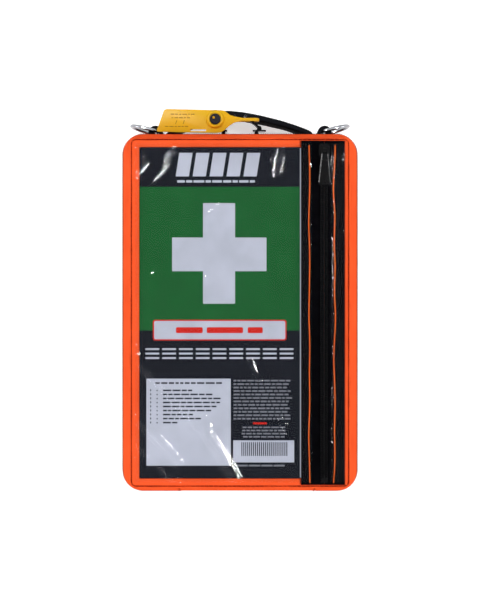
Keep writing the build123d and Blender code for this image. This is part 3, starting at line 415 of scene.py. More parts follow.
def push(bm, amount, verts=None):
    """Moves each vertex along its normal by what amount says for its place."""
    bm.normal_update()
    moved = [(v, v.co + v.normal * amount(v.co)) for v in (verts or bm.verts)]
    for vert, place in moved:
        vert.co = place


def thicken(bm, thickness):
    """Gives an open sheet its thickness, inwards from its faces."""
    bmesh.ops.solidify(bm, geom=bm.faces[:], thickness=thickness)


def outer_shell(bm):
    """Turns an open band of wall so that its faces point away from the middle of the pouch."""
    bm.normal_update()
    outward = sum(f.normal.to_2d().dot(f.calc_center_median().to_2d()) for f in bm.faces)
    if outward < 0:
        bmesh.ops.reverse_faces(bm, faces=bm.faces)


def hinge_faces(bm, inside):
    """Cuts the bottom wall at both ends of its hinge, and takes away one side of the cuts."""
    for edge in (hinge_low.x, hinge_high.x):
        whole = bm.verts[:] + bm.edges[:] + bm.faces[:]
        bmesh.ops.bisect_plane(bm, geom=whole, dist=TINY, plane_co=(edge, 0, 0), plane_no=(1, 0, 0))
    doomed = []
    for face in bm.faces:
        middle = face.calc_center_median()
        in_zone = hinge_low.x < middle.x < hinge_high.x and middle.y < -BELLY_HEIGHT / 2 + BELLY_RADIUS
        if in_zone == inside:
            doomed.append(face)
    bmesh.ops.delete(bm, geom=doomed, context="FACES")


SEAM = (SEAM_WIDTH, SEAM_HEIGHT, SEAM_RADIUS)
BELLY = (BELLY_WIDTH, BELLY_HEIGHT, BELLY_RADIUS)
GUSSET_PUFF = 0.25 * MM    # how far the side fabric stands out
FOLD = 0.55 * MM           # depth of its folds
GUSSET_CUTS = 11
HINGE_CUTS = 7


def gusset_puff(seam_level, belly_level, seed):
    """How far the side fabric stands out between a seam and the zip."""

    def amount(point):
        share = (point.z - belly_level) / (seam_level - belly_level)
        share = min(max(share, 0.0), 1.0)
        curve = math.sin(math.pi * share)
        folds = wrinkle((point.x, point.y, point.z * 0.45), 9 * MM, seed)
        creases = wrinkle((point.x, point.y, point.z * 1.6), 3.6 * MM, seed + 4)
        return curve * (GUSSET_PUFF + FOLD * folds + 0.35 * FOLD * creases)

    return amount


def make_gusset(name, body, seam_level, belly_level, node_name, seed):
    """The sloping side fabric of one half of the pouch, without the hinge stretch."""
    bm = loft([SEAM + (seam_level,), BELLY + (belly_level,)], cuts=GUSSET_CUTS)
    outer_shell(bm)
    push(bm, gusset_puff(seam_level, belly_level, seed))
    hinge_faces(bm, True)
    thicken(bm, WALL)
    make_piece(bm, name, body, ["orange_fabric"], [node_name])


def make_hinge_cloth():
    """The stretch of bottom wall that stays joined when the pouch opens; the real cloth folds there, but
    this piece is fixed and does not fold.
    """
    zip_level = (rear_tape_high.z + front_tape_low.z) / 2
    bm = loft(
        [
            SEAM + (WALL,),
            BELLY + (rear_tape_low.z,),
            BELLY + (zip_level,),
            BELLY + (front_tape_high.z,),
            SEAM + (panel_low.z,),
        ],
        cuts=HINGE_CUTS,
    )
    outer_shell(bm)
    rear = gusset_puff(WALL, rear_tape_low.z, SEED)
    front = gusset_puff(panel_low.z, front_tape_high.z, SEED + 3)
    push(bm, lambda point: rear(point) if point.z < zip_level else front(point))
    hinge_faces(bm, False)
    thicken(bm, WALL)
    cloth = make_piece(bm, "hinge_cloth", None, ["orange_fabric"], ["hinge_panel_rear", "hinge_panel_front"])
    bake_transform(cloth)


def make_main_tape(name, body, low, high, node_name):
    """The zip tape round one half of the pouch."""
    bm = loft([BELLY + (low,), BELLY + (high,)], cuts=4)
    outer_shell(bm)
    push(bm, lambda point: 0.12 * MM * wrinkle(point, 7 * MM, SEED))
    hinge_faces(bm, True)
    thicken(bm, TAPE)
    make_piece(bm, name, body, ["black_zip_tape"], [node_name])


def make_panel(name, body, low, high, node_name):
    """A flat panel of padded cloth."""
    bm = bmesh.new()
    add_rim(bm, *SEAM, low)
    bmesh.ops.contextual_create(bm, geom=at_level(bm, low))
    bmesh.ops.inset_region(bm, faces=bm.faces[:], thickness=1.5 * MM, use_even_offset=True)
    lifted = bmesh.ops.extrude_face_region(bm, geom=bm.faces[:])["geom"]
    bmesh.ops.translate(bm, vec=(0, 0, high - low), verts=verts_in(lifted))
    outwards(bm)
    make_piece(bm, name, body, ["orange_fabric"], [node_name])


# Outside the seam line and above the panel's face, in millimetres: round the piped edge,
# down into the stitched groove, over the lap and back under the panel.
BINDING_PROFILE = (
    (0.1, -2.4),
    (0.65, -2.0),
    (0.9, -0.9),
    (0.9, 0.3),
    (0.7, 1.0),
    (0.3, 1.4),
    (-0.1, 1.15),
    (-0.4, 0.45),
    (-0.75, 0.75),
    (-1.0, 1.25),
    (-1.3, 1.45),
    (-1.65, 1.35),
    (-1.8, 0.8),
    (-1.65, 0.02),
    (-1.0, -0.1),
    (-0.2, -0.25),
)
BACK_PROFILE = (
    (0.1, -2.6),
    (1.0, -2.3),
    (1.4, -1.2),
    (1.3, -0.3),
    (0.7, -0.02),
    (0.03, -0.2),
    (0.0, -1.1),
)
BACK_LIFT = 0.3 * MM       # clear of what the pouch lies on


def binding_rims(profile, level, side):
    """Rims of a binding round a panel. side is 1 for the front and -1 for the back."""
    ring = []
    for outset, rise in profile:
        width, height = SEAM_WIDTH + 2 * outset * MM, SEAM_HEIGHT + 2 * outset * MM
        ring.append((width, height, SEAM_RADIUS + outset * MM, level + side * rise * MM))
    return ring


def pucker(point):
    """How far the binding's cloth is drawn in and let out between its stitches."""
    near = wrinkle(point, 3.0 * MM, SEED)
    far = wrinkle(point, 22 * MM, SEED + 2)
    return 0.12 * MM * near + 0.26 * MM * far


def make_front_binding():
    """Piped edge of the front panel, with its groove and lap."""
    bm = loft(binding_rims(BINDING_PROFILE, panel_high.z, 1), closed=True)
    push(bm, pucker)
    make_piece(bm, "piped_binding", "cover", ["orange_binding"], ["front_binding"], smooth_angle=60)


MARGIN_LAP = 1.6 * MM      # pocket margin past the panes, under the binding
MARGIN_RISE = 1.45 * MM    # its height above the panel
MARGIN_GAP = 0.12 * MM     # beside the card and the panes
MARGIN_CUTS = 60


def make_pocket_margin():
    """Padded cloth that stands up between the binding and the card, tapes and panes."""
    bm = bmesh.new()
    left, right = pane_low.x - MARGIN_LAP, right_pane_high.x + MARGIN_LAP
    end = pane_high.y + MARGIN_LAP
    base, top = panel_high.z, panel_high.z + MARGIN_RISE
    near, inner = card_high.y + MARGIN_GAP, card_low.x - MARGIN_GAP
    add_slab(bm, left, inner, -end, end, base, top)
    add_slab(bm, inner, card_high.x - MM, near, end, base, top)
    add_slab(bm, inner, card_high.x - MM, -end, -near, base, top)
    add_slab(bm, right_pane_high.x + MARGIN_GAP, right, -end, end, base, top)
    outwards(bm)
    long_edges = [e for e in bm.edges if e.calc_length() > 20 * MM]
    bmesh.ops.subdivide_edges(bm, edges=long_edges, cuts=MARGIN_CUTS, use_grid_fill=True)
    face_verts = [v for v in bm.verts if v.co.z > base + MM]
    push(bm, lambda point: 0.12 * MM * wrinkle(point, 6 * MM, 4), face_verts)
    make_piece(bm, "pocket_margin", "cover", ["orange_fabric"])


def spaced(start, end, pitch):
    """Places from start until end, a pitch apart."""
    while start < end:
        yield start
        start += pitch


HINGE_STITCH = (0.7 * MM, 0.5 * MM, 1.9 * MM)
HINGE_STITCH_PITCH = 2.5 * MM


def make_hinge_seams():
    """Stitched joins at both ends of the bottom stretch that stays closed."""
    for name, body, low, high in (
        ("hinge_seam_rear", "case", WALL, rear_tape_high.z),
        ("hinge_seam_front", "cover", front_tape_low.z, panel_low.z),
    ):
        bm = bmesh.new()
        for x in (hinge_low.x, hinge_high.x):
            for z in spaced(low + 1.5 * MM, high - MM, HINGE_STITCH_PITCH):
                add_bar(bm, (x, -wall_y(z) - 0.35 * MM, z), math.pi / 2, HINGE_STITCH)
        soften(bm, 0.18 * MM)
        make_piece(bm, name, body, ["seam_thread"], slot="orange_binding")


def make_back_binding():
    """Rounded edge of the back panel."""
    bm = loft(binding_rims(BACK_PROFILE, BACK_LIFT, -1), closed=True)
    push(bm, lambda point: 0.5 * pucker(point) * min(1.0, point.z / (2 * MM)))
    make_piece(bm, "base_binding", "case", ["orange_binding"], ["back_binding"], smooth_angle=60)


def wall_y(level):
    """How far out the top and bottom walls are at a level."""
    rear = (level - WALL) / (rear_tape_low.z - WALL)
    front = (panel_low.z - level) / (panel_low.z - front_tape_high.z)
    share = min(max(min(rear, front), 0.0), 1.0)
    return SEAM_HEIGHT / 2 + (BELLY_HEIGHT - SEAM_HEIGHT) / 2 * share


# ---- Rows of stitches and zip teeth ----


def outline_places(width, height, radius, pitch):
    """Equal steps round a rounded rectangle, each a place and a direction in radians."""
    half_x, half_y = width / 2 - radius, height / 2 - radius
    quarter = radius * math.pi / 2
    centres = ((half_x, -half_y), (half_x, half_y), (-half_x, half_y), (-half_x, -half_y))
    places = []
    carried = 0.0
    for turn, corner in enumerate(centres):
        run = 2 * (half_x if turn % 2 else half_y)
        heading = turn * math.pi / 2
        along = Vector((math.cos(heading + math.pi / 2), math.sin(heading + math.pi / 2)))
        out = Vector((math.cos(heading), math.sin(heading)))
        start = Vector(corner) + out * radius
        step = carried
        while step < run:
            places.append((start + along * step, heading + math.pi / 2))
            step += pitch
        step -= run
        centre = Vector(corner) + along * run
        while step < quarter:
            turned = heading + step / radius
            spoke = Vector((math.cos(turned), math.sin(turned)))
            places.append((centre + spoke * radius, turned + math.pi / 2))
            step += pitch
        carried = step - quarter
    return places


def add_bar(bm, centre, heading, size, tilt=0.0):
    """A small block with its length along a heading in the XY plane."""
    placed = (
        Matrix.Translation(centre)
        @ Matrix.Rotation(heading, 4, "Z")
        @ Matrix.Rotation(tilt, 4, "Y")
        @ Matrix.Diagonal((*size, 1.0))
    )
    bmesh.ops.create_cube(bm, size=1.0, matrix=placed)


def make_seam_thread():
    """Dark stitches in the groove of the front binding."""
    bm = bmesh.new()
    inset = -0.45 * MM
    outline = (SEAM_WIDTH + 2 * inset, SEAM_HEIGHT + 2 * inset, SEAM_RADIUS + inset)
    for place, heading in outline_places(*outline, 3.0 * MM):
        level = panel_high.z + 0.75 * MM + pucker((*place, panel_high.z)) * 0.6
        add_bar(bm, (*place, level), heading, (2.7 * MM, 0.7 * MM, 0.5 * MM))
    soften(bm, 0.2 * MM)
    make_piece(bm, "seam_stitches", "cover", ["seam_thread"], slot="orange_binding")


def in_hinge(place):
    """Whether a place on the zip's line is at the stretch that stays closed."""
    return hinge_low.x - MM < place.x < hinge_high.x + MM and place.y < -BELLY_HEIGHT / 2 + MM


COIL_PITCH = 1.55 * MM
COIL_LOOP = (1.0 * MM, 1.25 * MM, 1.7 * MM)
COIL_REACH = 0.72 * MM     # middle of the main coil outside the tape's line


def make_main_coil(name, body, node_name, offset):
    """Loops of one side of the main zip, standing out of its tape."""
    low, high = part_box(node_name)
    bm = bmesh.new()
    level = (low.z + high.z) / 2
    outline = (BELLY_WIDTH + 2 * COIL_REACH, BELLY_HEIGHT + 2 * COIL_REACH, BELLY_RADIUS + COIL_REACH)
    for count, (place, heading) in enumerate(outline_places(*outline, COIL_PITCH)):
        if in_hinge(place):
            continue
        shifted = place + Vector((math.cos(heading), math.sin(heading))) * offset
        add_bar(bm, (*shifted, level), heading, COIL_LOOP)
    soften(bm, 0.3 * MM)
    make_piece(bm, name, body, ["black_zip_coil"], [node_name])


LOOP_REACH = 0.45 * MM     # a loop past the middle of the chain
LOOP_BEAD = 1.1 * MM       # the outer turn of a loop
LOOP_THREAD = 0.7 * MM


def make_front_coil(name, node_name, side):
    """Loops of one side of the front zip, hooked between those of the other side."""
    low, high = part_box(node_name)
    chain_x = (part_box("front_zip_coil_left")[1].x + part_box("front_zip_coil_right")[0].x) / 2
    far_x = high.x if side > 0 else low.x
    near_x = chain_x - side * LOOP_REACH
    bm = bmesh.new()
    middle_z = (low.z + high.z) / 2
    rise = high.z - low.z
    for step in range(int((high.y - low.y) / COIL_PITCH)):
        y = low.y + (step + 0.5 + 0.25 * side) * COIL_PITCH
        add_bar(bm, ((far_x + near_x) / 2, y, middle_z), 0, (abs(far_x - near_x), LOOP_THREAD, 0.8 * rise))
        bead_x = far_x - side * LOOP_BEAD / 2
        add_bar(bm, (bead_x, y, middle_z), 0, (LOOP_BEAD, LOOP_BEAD, 0.96 * rise))
    soften(bm, 0.26 * MM, 2)
    make_piece(bm, name, "cover", ["black_zip_coil"], [node_name])


RIM_RADIUS = 0.5 * MM
RIM_TIP_INSET = 0.6 * MM   # middle of a rim inside the pull's widest place
RIM_ROOT_HALF = 1.75 * MM  # middle of a rim from the pull's middle line, at the slider
RIM_TIP_GAP = 1.6 * MM     # from the pull's tip
RIM_ROOT_GAP = 3.4 * MM    # from the pull's other end
PULL_SLOPE = math.tan(math.radians(3.5))


def make_pull_rims():
    """Rounded rims along both edges of the front zip's pull."""
    low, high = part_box("front_zip_pull")
    corners = [vert.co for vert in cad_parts["front_zip_pull"].data.vertices]
    tip_top = max(place.z for place in corners if place.y < low.y + 3 * MM)
    middle = (low.x + high.x) / 2
    half_tip = (high.x - low.x) / 2 - RIM_TIP_INSET
    tip_y, root_y = low.y + RIM_TIP_GAP, high.y - RIM_ROOT_GAP
    bm = bmesh.new()
    for side in (-1, 1):
        tip = Vector((middle + side * half_tip, tip_y, tip_top))
        root_z = tip_top + PULL_SLOPE * (root_y - tip_y)
        root = Vector((middle + side * RIM_ROOT_HALF, root_y, root_z))
        run = root - tip
        placed = Matrix.Translation((tip + root) / 2) @ run.to_track_quat("Z", "Y").to_matrix().to_4x4()
        bmesh.ops.create_cone(
            bm,
            cap_ends=True,
            segments=20,
            radius1=RIM_RADIUS,
            radius2=RIM_RADIUS,
            depth=run.length,
            matrix=placed,
        )
    make_piece(bm, "pull_rims", "front_pull", ["black_zip_metal"])


# ---- Front pocket: card, tapes, vinyl ----


def add_slab(bm, left, right, bottom, top, low, high, slant=0.0):
    """A thin block, its top edge shifted along x by slant."""
    middle = ((left + right) / 2, (bottom + top) / 2, (low + high) / 2)
    made = add_block(bm, (right - left, top - bottom, high - low), middle)
    for vert in made:
        if vert.co.y > middle[1]:
            vert.co.x += slant
    return made


def make_card():
    """The card's body, with softly rounded corners."""
    bm = bmesh.new()
    add_slab(bm, card_low.x, card_high.x, card_low.y, card_high.y, card_low.z, card_high.z)
    soften(bm, 0.8 * MM, 4, upright_edges(bm.edges))
    make_piece(bm, "card_sheet", "cover", ["card_black"], ["insert_card"], slot=CARD_SLOT)


INK = 0.04 * MM            # thickness of one layer of print


class Print:
    """One colour of ink, or of painted highlight, in millimetres across and up the pouch."""

    def __init__(self, name, finish_name, layer=1, base=card_high.z, body="cover", slot=CARD_SLOT):
        self.bm = bmesh.new()
        self.name = name
        self.finish_name = finish_name
        self.body = body
        self.slot = slot
        self.low = base + (layer - 1) * INK
        self.high = self.low + INK

    def block(self, left, right, bottom, top, slant=0.0):
        return add_slab(
            self.bm, left * MM, right * MM, bottom * MM, top * MM, self.low, self.high, slant * MM
        )

    def rounded(self, left, right, bottom, top, radius):
        made = self.block(left, right, bottom, top)
        own_edges = [e for e in self.bm.edges if e.verts[0] in made]
        soften(self.bm, radius * MM, 5, upright_edges(own_edges))

    def words(self, left, right, bottom, height, rng, centred=False, word=(2.2, 6.5), gap=0.9):
        """A line of plain dashes in place of words."""
        lengths = []
        total = 0.0
        while True:
            length = rng.uniform(*word)
            if total + length > right - left:
                break
            lengths.append(length)
            total += length + gap
        start = left + ((right - left - total + gap) / 2 if centred else 0.0)
        for length in lengths:
            self.block(start, start + length, bottom, bottom + height)
            start += length + gap

    def done(self):
        make_piece(self.bm, self.name, self.body, [self.finish_name], slot=self.slot)


def make_card_print():
    """Plain shapes where the card's printing is, and a painted highlight along the card's right edge: no
    words and no marks.
    """
    rng = random.Random(SEED)
    left, right = card_low.x / MM, card_high.x / MM
    green = Print("card_green_field", "card_green")
    green.block(left, right - 0.9, -11.5, 81.8)
    green.done()

    pale = Print("card_pale_print_and_edge_highlight", "card_pale", 2)
    pale.block(-24.0, -3.2, 5.9, 71.2)
    pale.block(-44.1, -24.0, 27.0, 48.9)
    pale.block(-3.2, 17.2, 27.0, 48.9)
    for place in range(5):
        start = -41.8 + place * 11.0
        pale.block(start, start + 8.6, 88.6, 103.9, 2.4)
    pale.words(-40.8, 14.0, 84.6, 1.5, rng, word=(3.0, 9.0))
    for place in range(9):
        start = -61.4 + place * 10.9
        for level in (-24.2, -27.1, -30.0):
            pale.block(start, start + 8.9, level, level + 1.2)
    pale.block(-60.8, -6.0, -99.3, -42.8)
    pale.block(-4.4, 35.2, -97.2, -82.9)
    # A pale strip down the card's right edge: a painted highlight standing for the lit paper edge, not
    # print.
    pale.block(right - 0.9, right - 0.1, -107.0, 107.0)
    pale.done()

    faint = Print("card_small_print", "card_faint", 2)
    for row in range(12):
        faint.words(-4.2, 35.0, -44.6 - row * 2.25, 1.05, rng, word=(1.6, 5.0), gap=0.7)
    for row in range(4):
        faint.words(0.0, 31.0, -74.9 - row * 2.05, 0.95, rng, centred=True, word=(1.8, 5.0), gap=0.7)
    faint.words(-3.0, 34.0, -99.8, 1.1, rng, word=(3.0, 8.0))
    faint.done()

    red = Print("card_red_border", "card_red", 2)
    red.rounded(-56.6, 30.2, -18.0, -4.5, 1.6)
    red.block(8.5, 17.5, -72.4, -71.2)
    red.done()
    label = Print("card_label_field", "card_pale", 3)
    label.rounded(-55.8, 29.4, -17.2, -5.3, 1.1)
    label.done()
    red = Print("card_label_print", "card_red", 4)
    for start, length in ((-41.6, 17.4), (-21.6, 23.6), (5.0, 9.8)):
        red.rounded(start, start + length, -13.2, -9.4, 0.9)
    red.done()

    ink = Print("card_list_print", "card_ink", 3)
    ink.words(-55.0, -11.5, -46.2, 1.1, rng, word=(2.0, 6.0))
    lengths = (20.0, 36.5, 40.0, 38.0, 37.0, 34.5, 20.0, 27.5, 15.0)
    for row, length in enumerate(lengths):
        level = -50.9 - row * 2.62
        ink.block(-58.4, -57.7, level, level + 1.2)
        ink.block(-54.2, -53.5, level, level + 0.8)
        ink.words(-50.0, -50.0 + length, level, 1.0, rng, word=(2.0, 5.4), gap=0.8)
    for bar in range(24):
        start = 0.9 + bar * 1.27
        ink.block(start, start + 0.62, -93.0, -84.1)
    ink.done()


def make_front_tape(name, node_name, left_lap, right_lap, seed):
    """Woven tape of the front zip, gently uneven along its length."""
    low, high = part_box(node_name)
    left, right = low.x - left_lap, high.x + right_lap
    size = (right - left, high.y - low.y + 2 * MARGIN_LAP)
    bm = bmesh.new()
    add_sheet(bm, (10, 120), size, ((left + right) / 2, 0, high.z))
    push(bm, lambda point: 0.12 * MM * (wrinkle(point, 8 * MM, seed) - 1))
    thicken(bm, high.z - low.z - 0.1 * MM)
    make_piece(bm, name, "cover", ["black_zip_tape"], [node_name])


# Creases in the big pane: start, end, height and half width, in millimetres.
CREASES = (
    ((-72, 86), (-66, 91), 0.44, 1.1),
    ((-71, 82), (-58, 95.5), 0.6, 1.55),
    ((-53.5, 86), (-44, 97), 0.65, 1.6),
    ((-49, 98), (-43, 104), 0.48, 1.2),
    ((-44, 104.5), (-38, 109), 0.45, 1.1),
    ((-62, 101), (-59, 99), 0.5, 0.9),
    ((20.5, 88), (22.8, 107), 0.68, 1.7),
    ((26.0, 90), (27.2, 107), 0.56, 1.4),
    ((-19, 65), (-13, 71), 0.5, 1.1),
    ((-57, 24), (-54, 28), 0.5, 1.1),
    ((-22, 23), (-19, 27), 0.5, 1.1),
    ((-71, -33), (-63, -27), 0.74, 1.8),
    ((-70, -55), (-64, -50), 0.62, 1.5),
    ((-70, -62), (-40, -96), 1.7, 3.4),
    ((-60, -36), (-26, -70), 1.7, 3.6),
    ((-26, -70), (-2, -108), 1.8, 3.8),
    ((-66, -84), (-40, -110), 1.3, 2.6),
    ((6, -30), (13, -44), 0.8, 1.8),
    ((22, -66), (30, -72), 0.6, 1.5),
    ((26, -72), (34, -80), 0.6, 1.5),
    ((-68.4, 106), (-65.8, 108.5), 0.55, 1.3),
    ((-68.4, 93), (-65.4, 95.8), 0.55, 1.3),
    ((-68.4, 69), (-65.6, 71.5), 0.55, 1.3),
    ((-68.4, 43), (-65.6, 45.3), 0.55, 1.3),
    ((-68.4, 11), (-65.6, 13.1), 0.56, 1.3),
    ((-68.4, -22), (-65.4, -19.9), 0.6, 1.4),
    ((-69, -69.2), (-64.8, -66.2), 0.85, 1.9),
    ((-68.6, -83), (-65.2, -80.6), 0.62, 1.4),
    ((-68.4, -96.5), (-65.6, -94.6), 0.6, 1.3),
)
# Small dents in the big pane: across, up, height and half width.
DENTS = (
    (-17.0, 66.0, 0.47, 1.1),
    (26.0, -66.0, 0.47, 1.1),
)


RIDGE_END = 0.2      # how far a crease fades past each of its ends, as a share of its length


def bell(distance, half_width):
    """1 at the middle, falling smoothly to the sides."""
    return math.exp(-((distance / half_width) ** 2))


def ridge(point, start, end, height, half_width):
    """Height of one crease at a point, fading at both its ends."""
    run = end - start
    share = (point - start).dot(run) / run.length_squared
    if not -RIDGE_END < share < 1 + RIDGE_END:
        return 0.0
    bend = 0.5 * MM * math.sin(share * 5.0 + start.x * 300)
    side = (point - start).cross(run) / run.length + bend
    fade = min(1.0, 2.5 * math.sin(math.pi * (share + RIDGE_END) / (1 + 2 * RIDGE_END)))
    return height * fade * bell(side, half_width)


CREASE_LINES = [
    (Vector(start) * MM, Vector(end) * MM, height * MM, half_width * MM)
    for start, end, height, half_width in CREASES
]


def pane_height(point):
    """How far the big pane stands off its flat place."""
    place = Vector((point.x, point.y))
    lift = sum(ridge(place, *line) for line in CREASE_LINES)
    for x, y, height, half_width in DENTS:
        lift += height * MM * bell((place / MM - Vector((x, y))).length, half_width)
    drawn = bell(min(point.x - pane_low.x, pane_high.y - abs(point.y)), 3.2 * MM)
    left_edge = bell(point.x - pane_low.x, 3.0 * MM)
    ripples = wrinkle((point.x * 0.6, point.y, 0), 4.2 * MM, SEED) + 0.5 * wrinkle(point, 1.9 * MM, 3)
    broad = wrinkle(point, 30 * MM, SEED + 1) + 0.4 * wrinkle(point, 11 * MM, 5)
    free = bell(pane_high.x - point.x, 1.6 * MM)
    frill = wrinkle((point.x, point.y, 2), 3.0 * MM, 9)
    lift += 0.2 * MM * broad * (1 - drawn) + 0.2 * MM * abs(ripples) * left_edge
    return lift + MM * free * (0.45 + 0.6 * abs(frill))


def side_pane_height(point):
    """How far the narrow pane stands off its flat place."""
    drawn = bell(min(point.x - right_pane_low.x, right_pane_high.x - point.x), 1.6 * MM)
    ripples = wrinkle((point.x * 0.7, point.y, 1), 4.6 * MM, SEED + 5)
    broad = wrinkle((point.x, point.y * 0.5, 4), 8 * MM, SEED + 6)
    free = bell(point.x - right_pane_low.x, 1.5 * MM)
    frill = wrinkle((point.x, point.y, 6), 3.4 * MM, SEED + 8)
    lift = 0.5 * MM * abs(ripples) * drawn + 0.9 * MM * abs(broad) * (1 - drawn)
    return lift + MM * free * (0.3 + 0.7 * abs(frill))


def make_pane(name, node_name, height_at, step):
    """A sheet of clear vinyl with its creases."""
    low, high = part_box(node_name)
    width, length = high.x - low.x, high.y - low.y
    cuts = (int(width / step), int(length / step))
    bm = bmesh.new()
    add_sheet(bm, cuts, (width, length), ((low.x + high.x) / 2, 0, high.z))
    for vert in bm.verts:
        vert.co.z += height_at(vert.co)
    thicken(bm, high.z - low.z)
    make_piece(bm, name, "cover", ["clear_vinyl"], [node_name], smooth_angle=80)


# Rows of orange stitches: across, how far they wander, both in millimetres, and a seed.
ORANGE_ROWS = ((44.9, 1.1, 2), (61.2, 1.5, 8))
ORANGE_PITCH = 2.6 * MM
ORANGE_STITCH = (2.9 * MM, 0.5 * MM, 0.6 * MM)
ORANGE_TILT = 0.08
ORANGE_RISE = 0.9 * MM


def make_orange_stitching():
    """Rows of thick orange stitches that hold the panes to the zip tapes."""
    bm = bmesh.new()
    level = pane_high.z + ORANGE_RISE
    for row_x, sway, seed in ORANGE_ROWS:
        for y in spaced(pane_low.y, pane_high.y - 2 * MM, ORANGE_PITCH):
            here, ahead = (
                row_x * MM + sway * MM * wrinkle((0, place, 0), 28 * MM, seed)
                for place in (y, y + ORANGE_PITCH)
            )
            heading = math.atan2(ORANGE_PITCH, ahead - here)
            centre = ((here + ahead) / 2, y + ORANGE_PITCH / 2, level)
            add_bar(bm, centre, heading, ORANGE_STITCH, ORANGE_TILT)
    soften(bm, 0.18 * MM)
    make_piece(bm, "pane_stitches", "cover", ["orange_thread"], slot="orange_binding")


# ---- Webbing, handle and rings on the top edge ----

RING_CUTS = 16
LOOP_WEBBING = 2.4 * MM    # thickness of the webbing that holds a ring


def make_ring_loop(name, node_name):
    """Webbing folded round the bar of a ring and sewn to the wall."""
    low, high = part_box(node_name)
    centre_x = (low.x + high.x) / 2
    centre_y = high.y - 2 * LOOP_WEBBING
    to_wall = (0, low.y - centre_y, 0)
    bm = bmesh.new()
    add_sheet(bm, (2, 12), (LOOP_WEBBING, high.z - low.z), (0, 0, 0))
    bmesh.ops.rotate(bm, cent=(0, 0, 0), matrix=Matrix.Rotation(math.pi / 2, 3, "X"), verts=bm.verts)
    leg = (centre_x + 1.5 * LOOP_WEBBING, centre_y, (low.z + high.z) / 2)
    bmesh.ops.translate(bm, vec=leg, verts=bm.verts)
    start = bm.faces[:]
    foot = bmesh.ops.extrude_face_region(bm, geom=start)["geom"]
    bmesh.ops.translate(bm, vec=to_wall, verts=verts_in(foot))
    turned = bmesh.ops.spin(
        bm,
        geom=start,
        cent=(centre_x, centre_y, 0),
        axis=(0, 0, 1),
        angle=math.pi,
        steps=RING_CUTS,
        use_merge=False,
    )["geom_last"]
    far_side = [f for f in turned if isinstance(f, bmesh.types.BMFace)]
    other = bmesh.ops.extrude_face_region(bm, geom=far_side)["geom"]
    bmesh.ops.translate(bm, vec=to_wall, verts=verts_in(other))
    outwards(bm)
    make_piece(bm, name, "case", ["black_webbing"], [node_name])


def on_path(points, share):
    """A place on a smooth path through points, share from 0 to 1."""
    spans = len(points) - 1
    span = min(int(share * spans), spans - 1)
    t = share * spans - span
    p1, p2 = points[span], points[span + 1]
    p0 = points[span - 1] if span else p1 * 2 - p2
    p3 = points[span + 2] if span + 2 < len(points) else p2 * 2 - p1
    square = p0 * 2 - p1 * 5 + p2 * 4 - p3
    cube = p1 * 3 - p0 - p2 * 3 + p3
    return (p1 * 2 + (p2 - p0) * t + square * t * t + cube * t ** 3) / 2


WALL_TOP = BELLY_HEIGHT / 2
# The strap's way along the top edge, in millimetres: across, and out from the wall.
HANDLE_WAY = (
    (-49.6, 0.2),
    (-48.2, 2.2),
    (-45.0, 4.2),
    (-40.0, 6.4),
    (-33.0, 9.6),
    (-23.0, 13.4),
    (-12.0, 15.8),
    (-2.0, 15.6),
    (8.0, 14.0),
    (18.0, 12.0),
    (28.0, 9.5),
    (38.0, 6.4),
    (45.0, 3.8),
    (47.8, 2.2),
    (49.0, 0.2),
)


def subdivide_along(bm, axis, cuts):
    """Cuts every edge that runs along one axis."""
    others = [turn for turn in range(3) if turn != axis]
    edges = [
        e for e in bm.edges if all(abs(e.verts[0].co[turn] - e.verts[1].co[turn]) < TINY for turn in others)
    ]
    bmesh.ops.subdivide_edges(bm, edges=edges, cuts=cuts, use_grid_fill=True)


STRAP_END = 3.4 * MM       # thickness of the carrying strap where it is sewn down
STRAP_PADDING = 1.5 * MM   # how much thicker it is in the middle


def make_handle():
    """Carrying strap, bowed off the top edge, with its ends sewn down."""
    points = [Vector((x, WALL_TOP / MM + out)) * MM for x, out in HANDLE_WAY]
    middle = (handle_low.z + handle_high.z) / 2
    width = handle_high.z - handle_low.z
    bm = bmesh.new()
    bmesh.ops.create_cube(bm, size=1.0)
    subdivide_along(bm, 0, 110)
    subdivide_along(bm, 1, 3)
    subdivide_along(bm, 2, 12)
    for vert in bm.verts:
        share, depth, side = vert.co.x + 0.5, vert.co.y, vert.co.z
        place = on_path(points, share)
        ahead, behind = on_path(points, min(share + 0.01, 1.0)), on_path(points, max(share - 0.01, 0.0))
        along = (ahead - behind).normalized()
        out = Vector((-along.y, along.x))
        rounded = max(0.35, 1 - abs(2 * side) ** 6) ** 0.5
        thickness = (STRAP_END + STRAP_PADDING * math.sin(math.pi * share)) * rounded
        ripple = 0.25 * MM * wrinkle((place.x, place.y, side * width), 9 * MM, 6)
        spot = place + out * (depth * thickness + ripple)
        vert.co = Vector((spot.x, spot.y, middle + side * width))
    outwards(bm)
    strap = make_piece(bm, "handle_strap", None, ["black_webbing"], ["carry_handle"], smooth_angle=60)
    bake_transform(strap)


PATCH_HALF = 5.0 * MM


def make_handle_tabs():
    """Sewn patches that hold the strap's ends to the wall."""
    low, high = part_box("handle_tabs")
    bm = bmesh.new()
    for side in (-1, 1):
        middle = side * (high.x - PATCH_HALF)
        made = bmesh.ops.create_grid(bm, x_segments=8, y_segments=14, size=0.5)["verts"]
        for vert in made:
            x = middle + vert.co.x * 2 * PATCH_HALF
            z = (low.z + high.z) / 2 + vert.co.y * (high.z - low.z)
            lift = 1.4 * MM + 0.12 * MM * wrinkle((x, 0, z), 2.5 * MM, 3)
            vert.co = Vector((x, wall_y(z) + lift, z))
    bm.normal_update()
    if bm.faces[:][0].normal.y < 0:
        bmesh.ops.reverse_faces(bm, faces=bm.faces)
    thicken(bm, 1.3 * MM)
    make_piece(bm, "handle_patches", "case", ["black_webbing"], ["handle_tabs"])


PATCH_STITCH = (0.5 * MM, 0.4 * MM, 1.8 * MM)
PATCH_STITCH_PITCH = 2.4 * MM


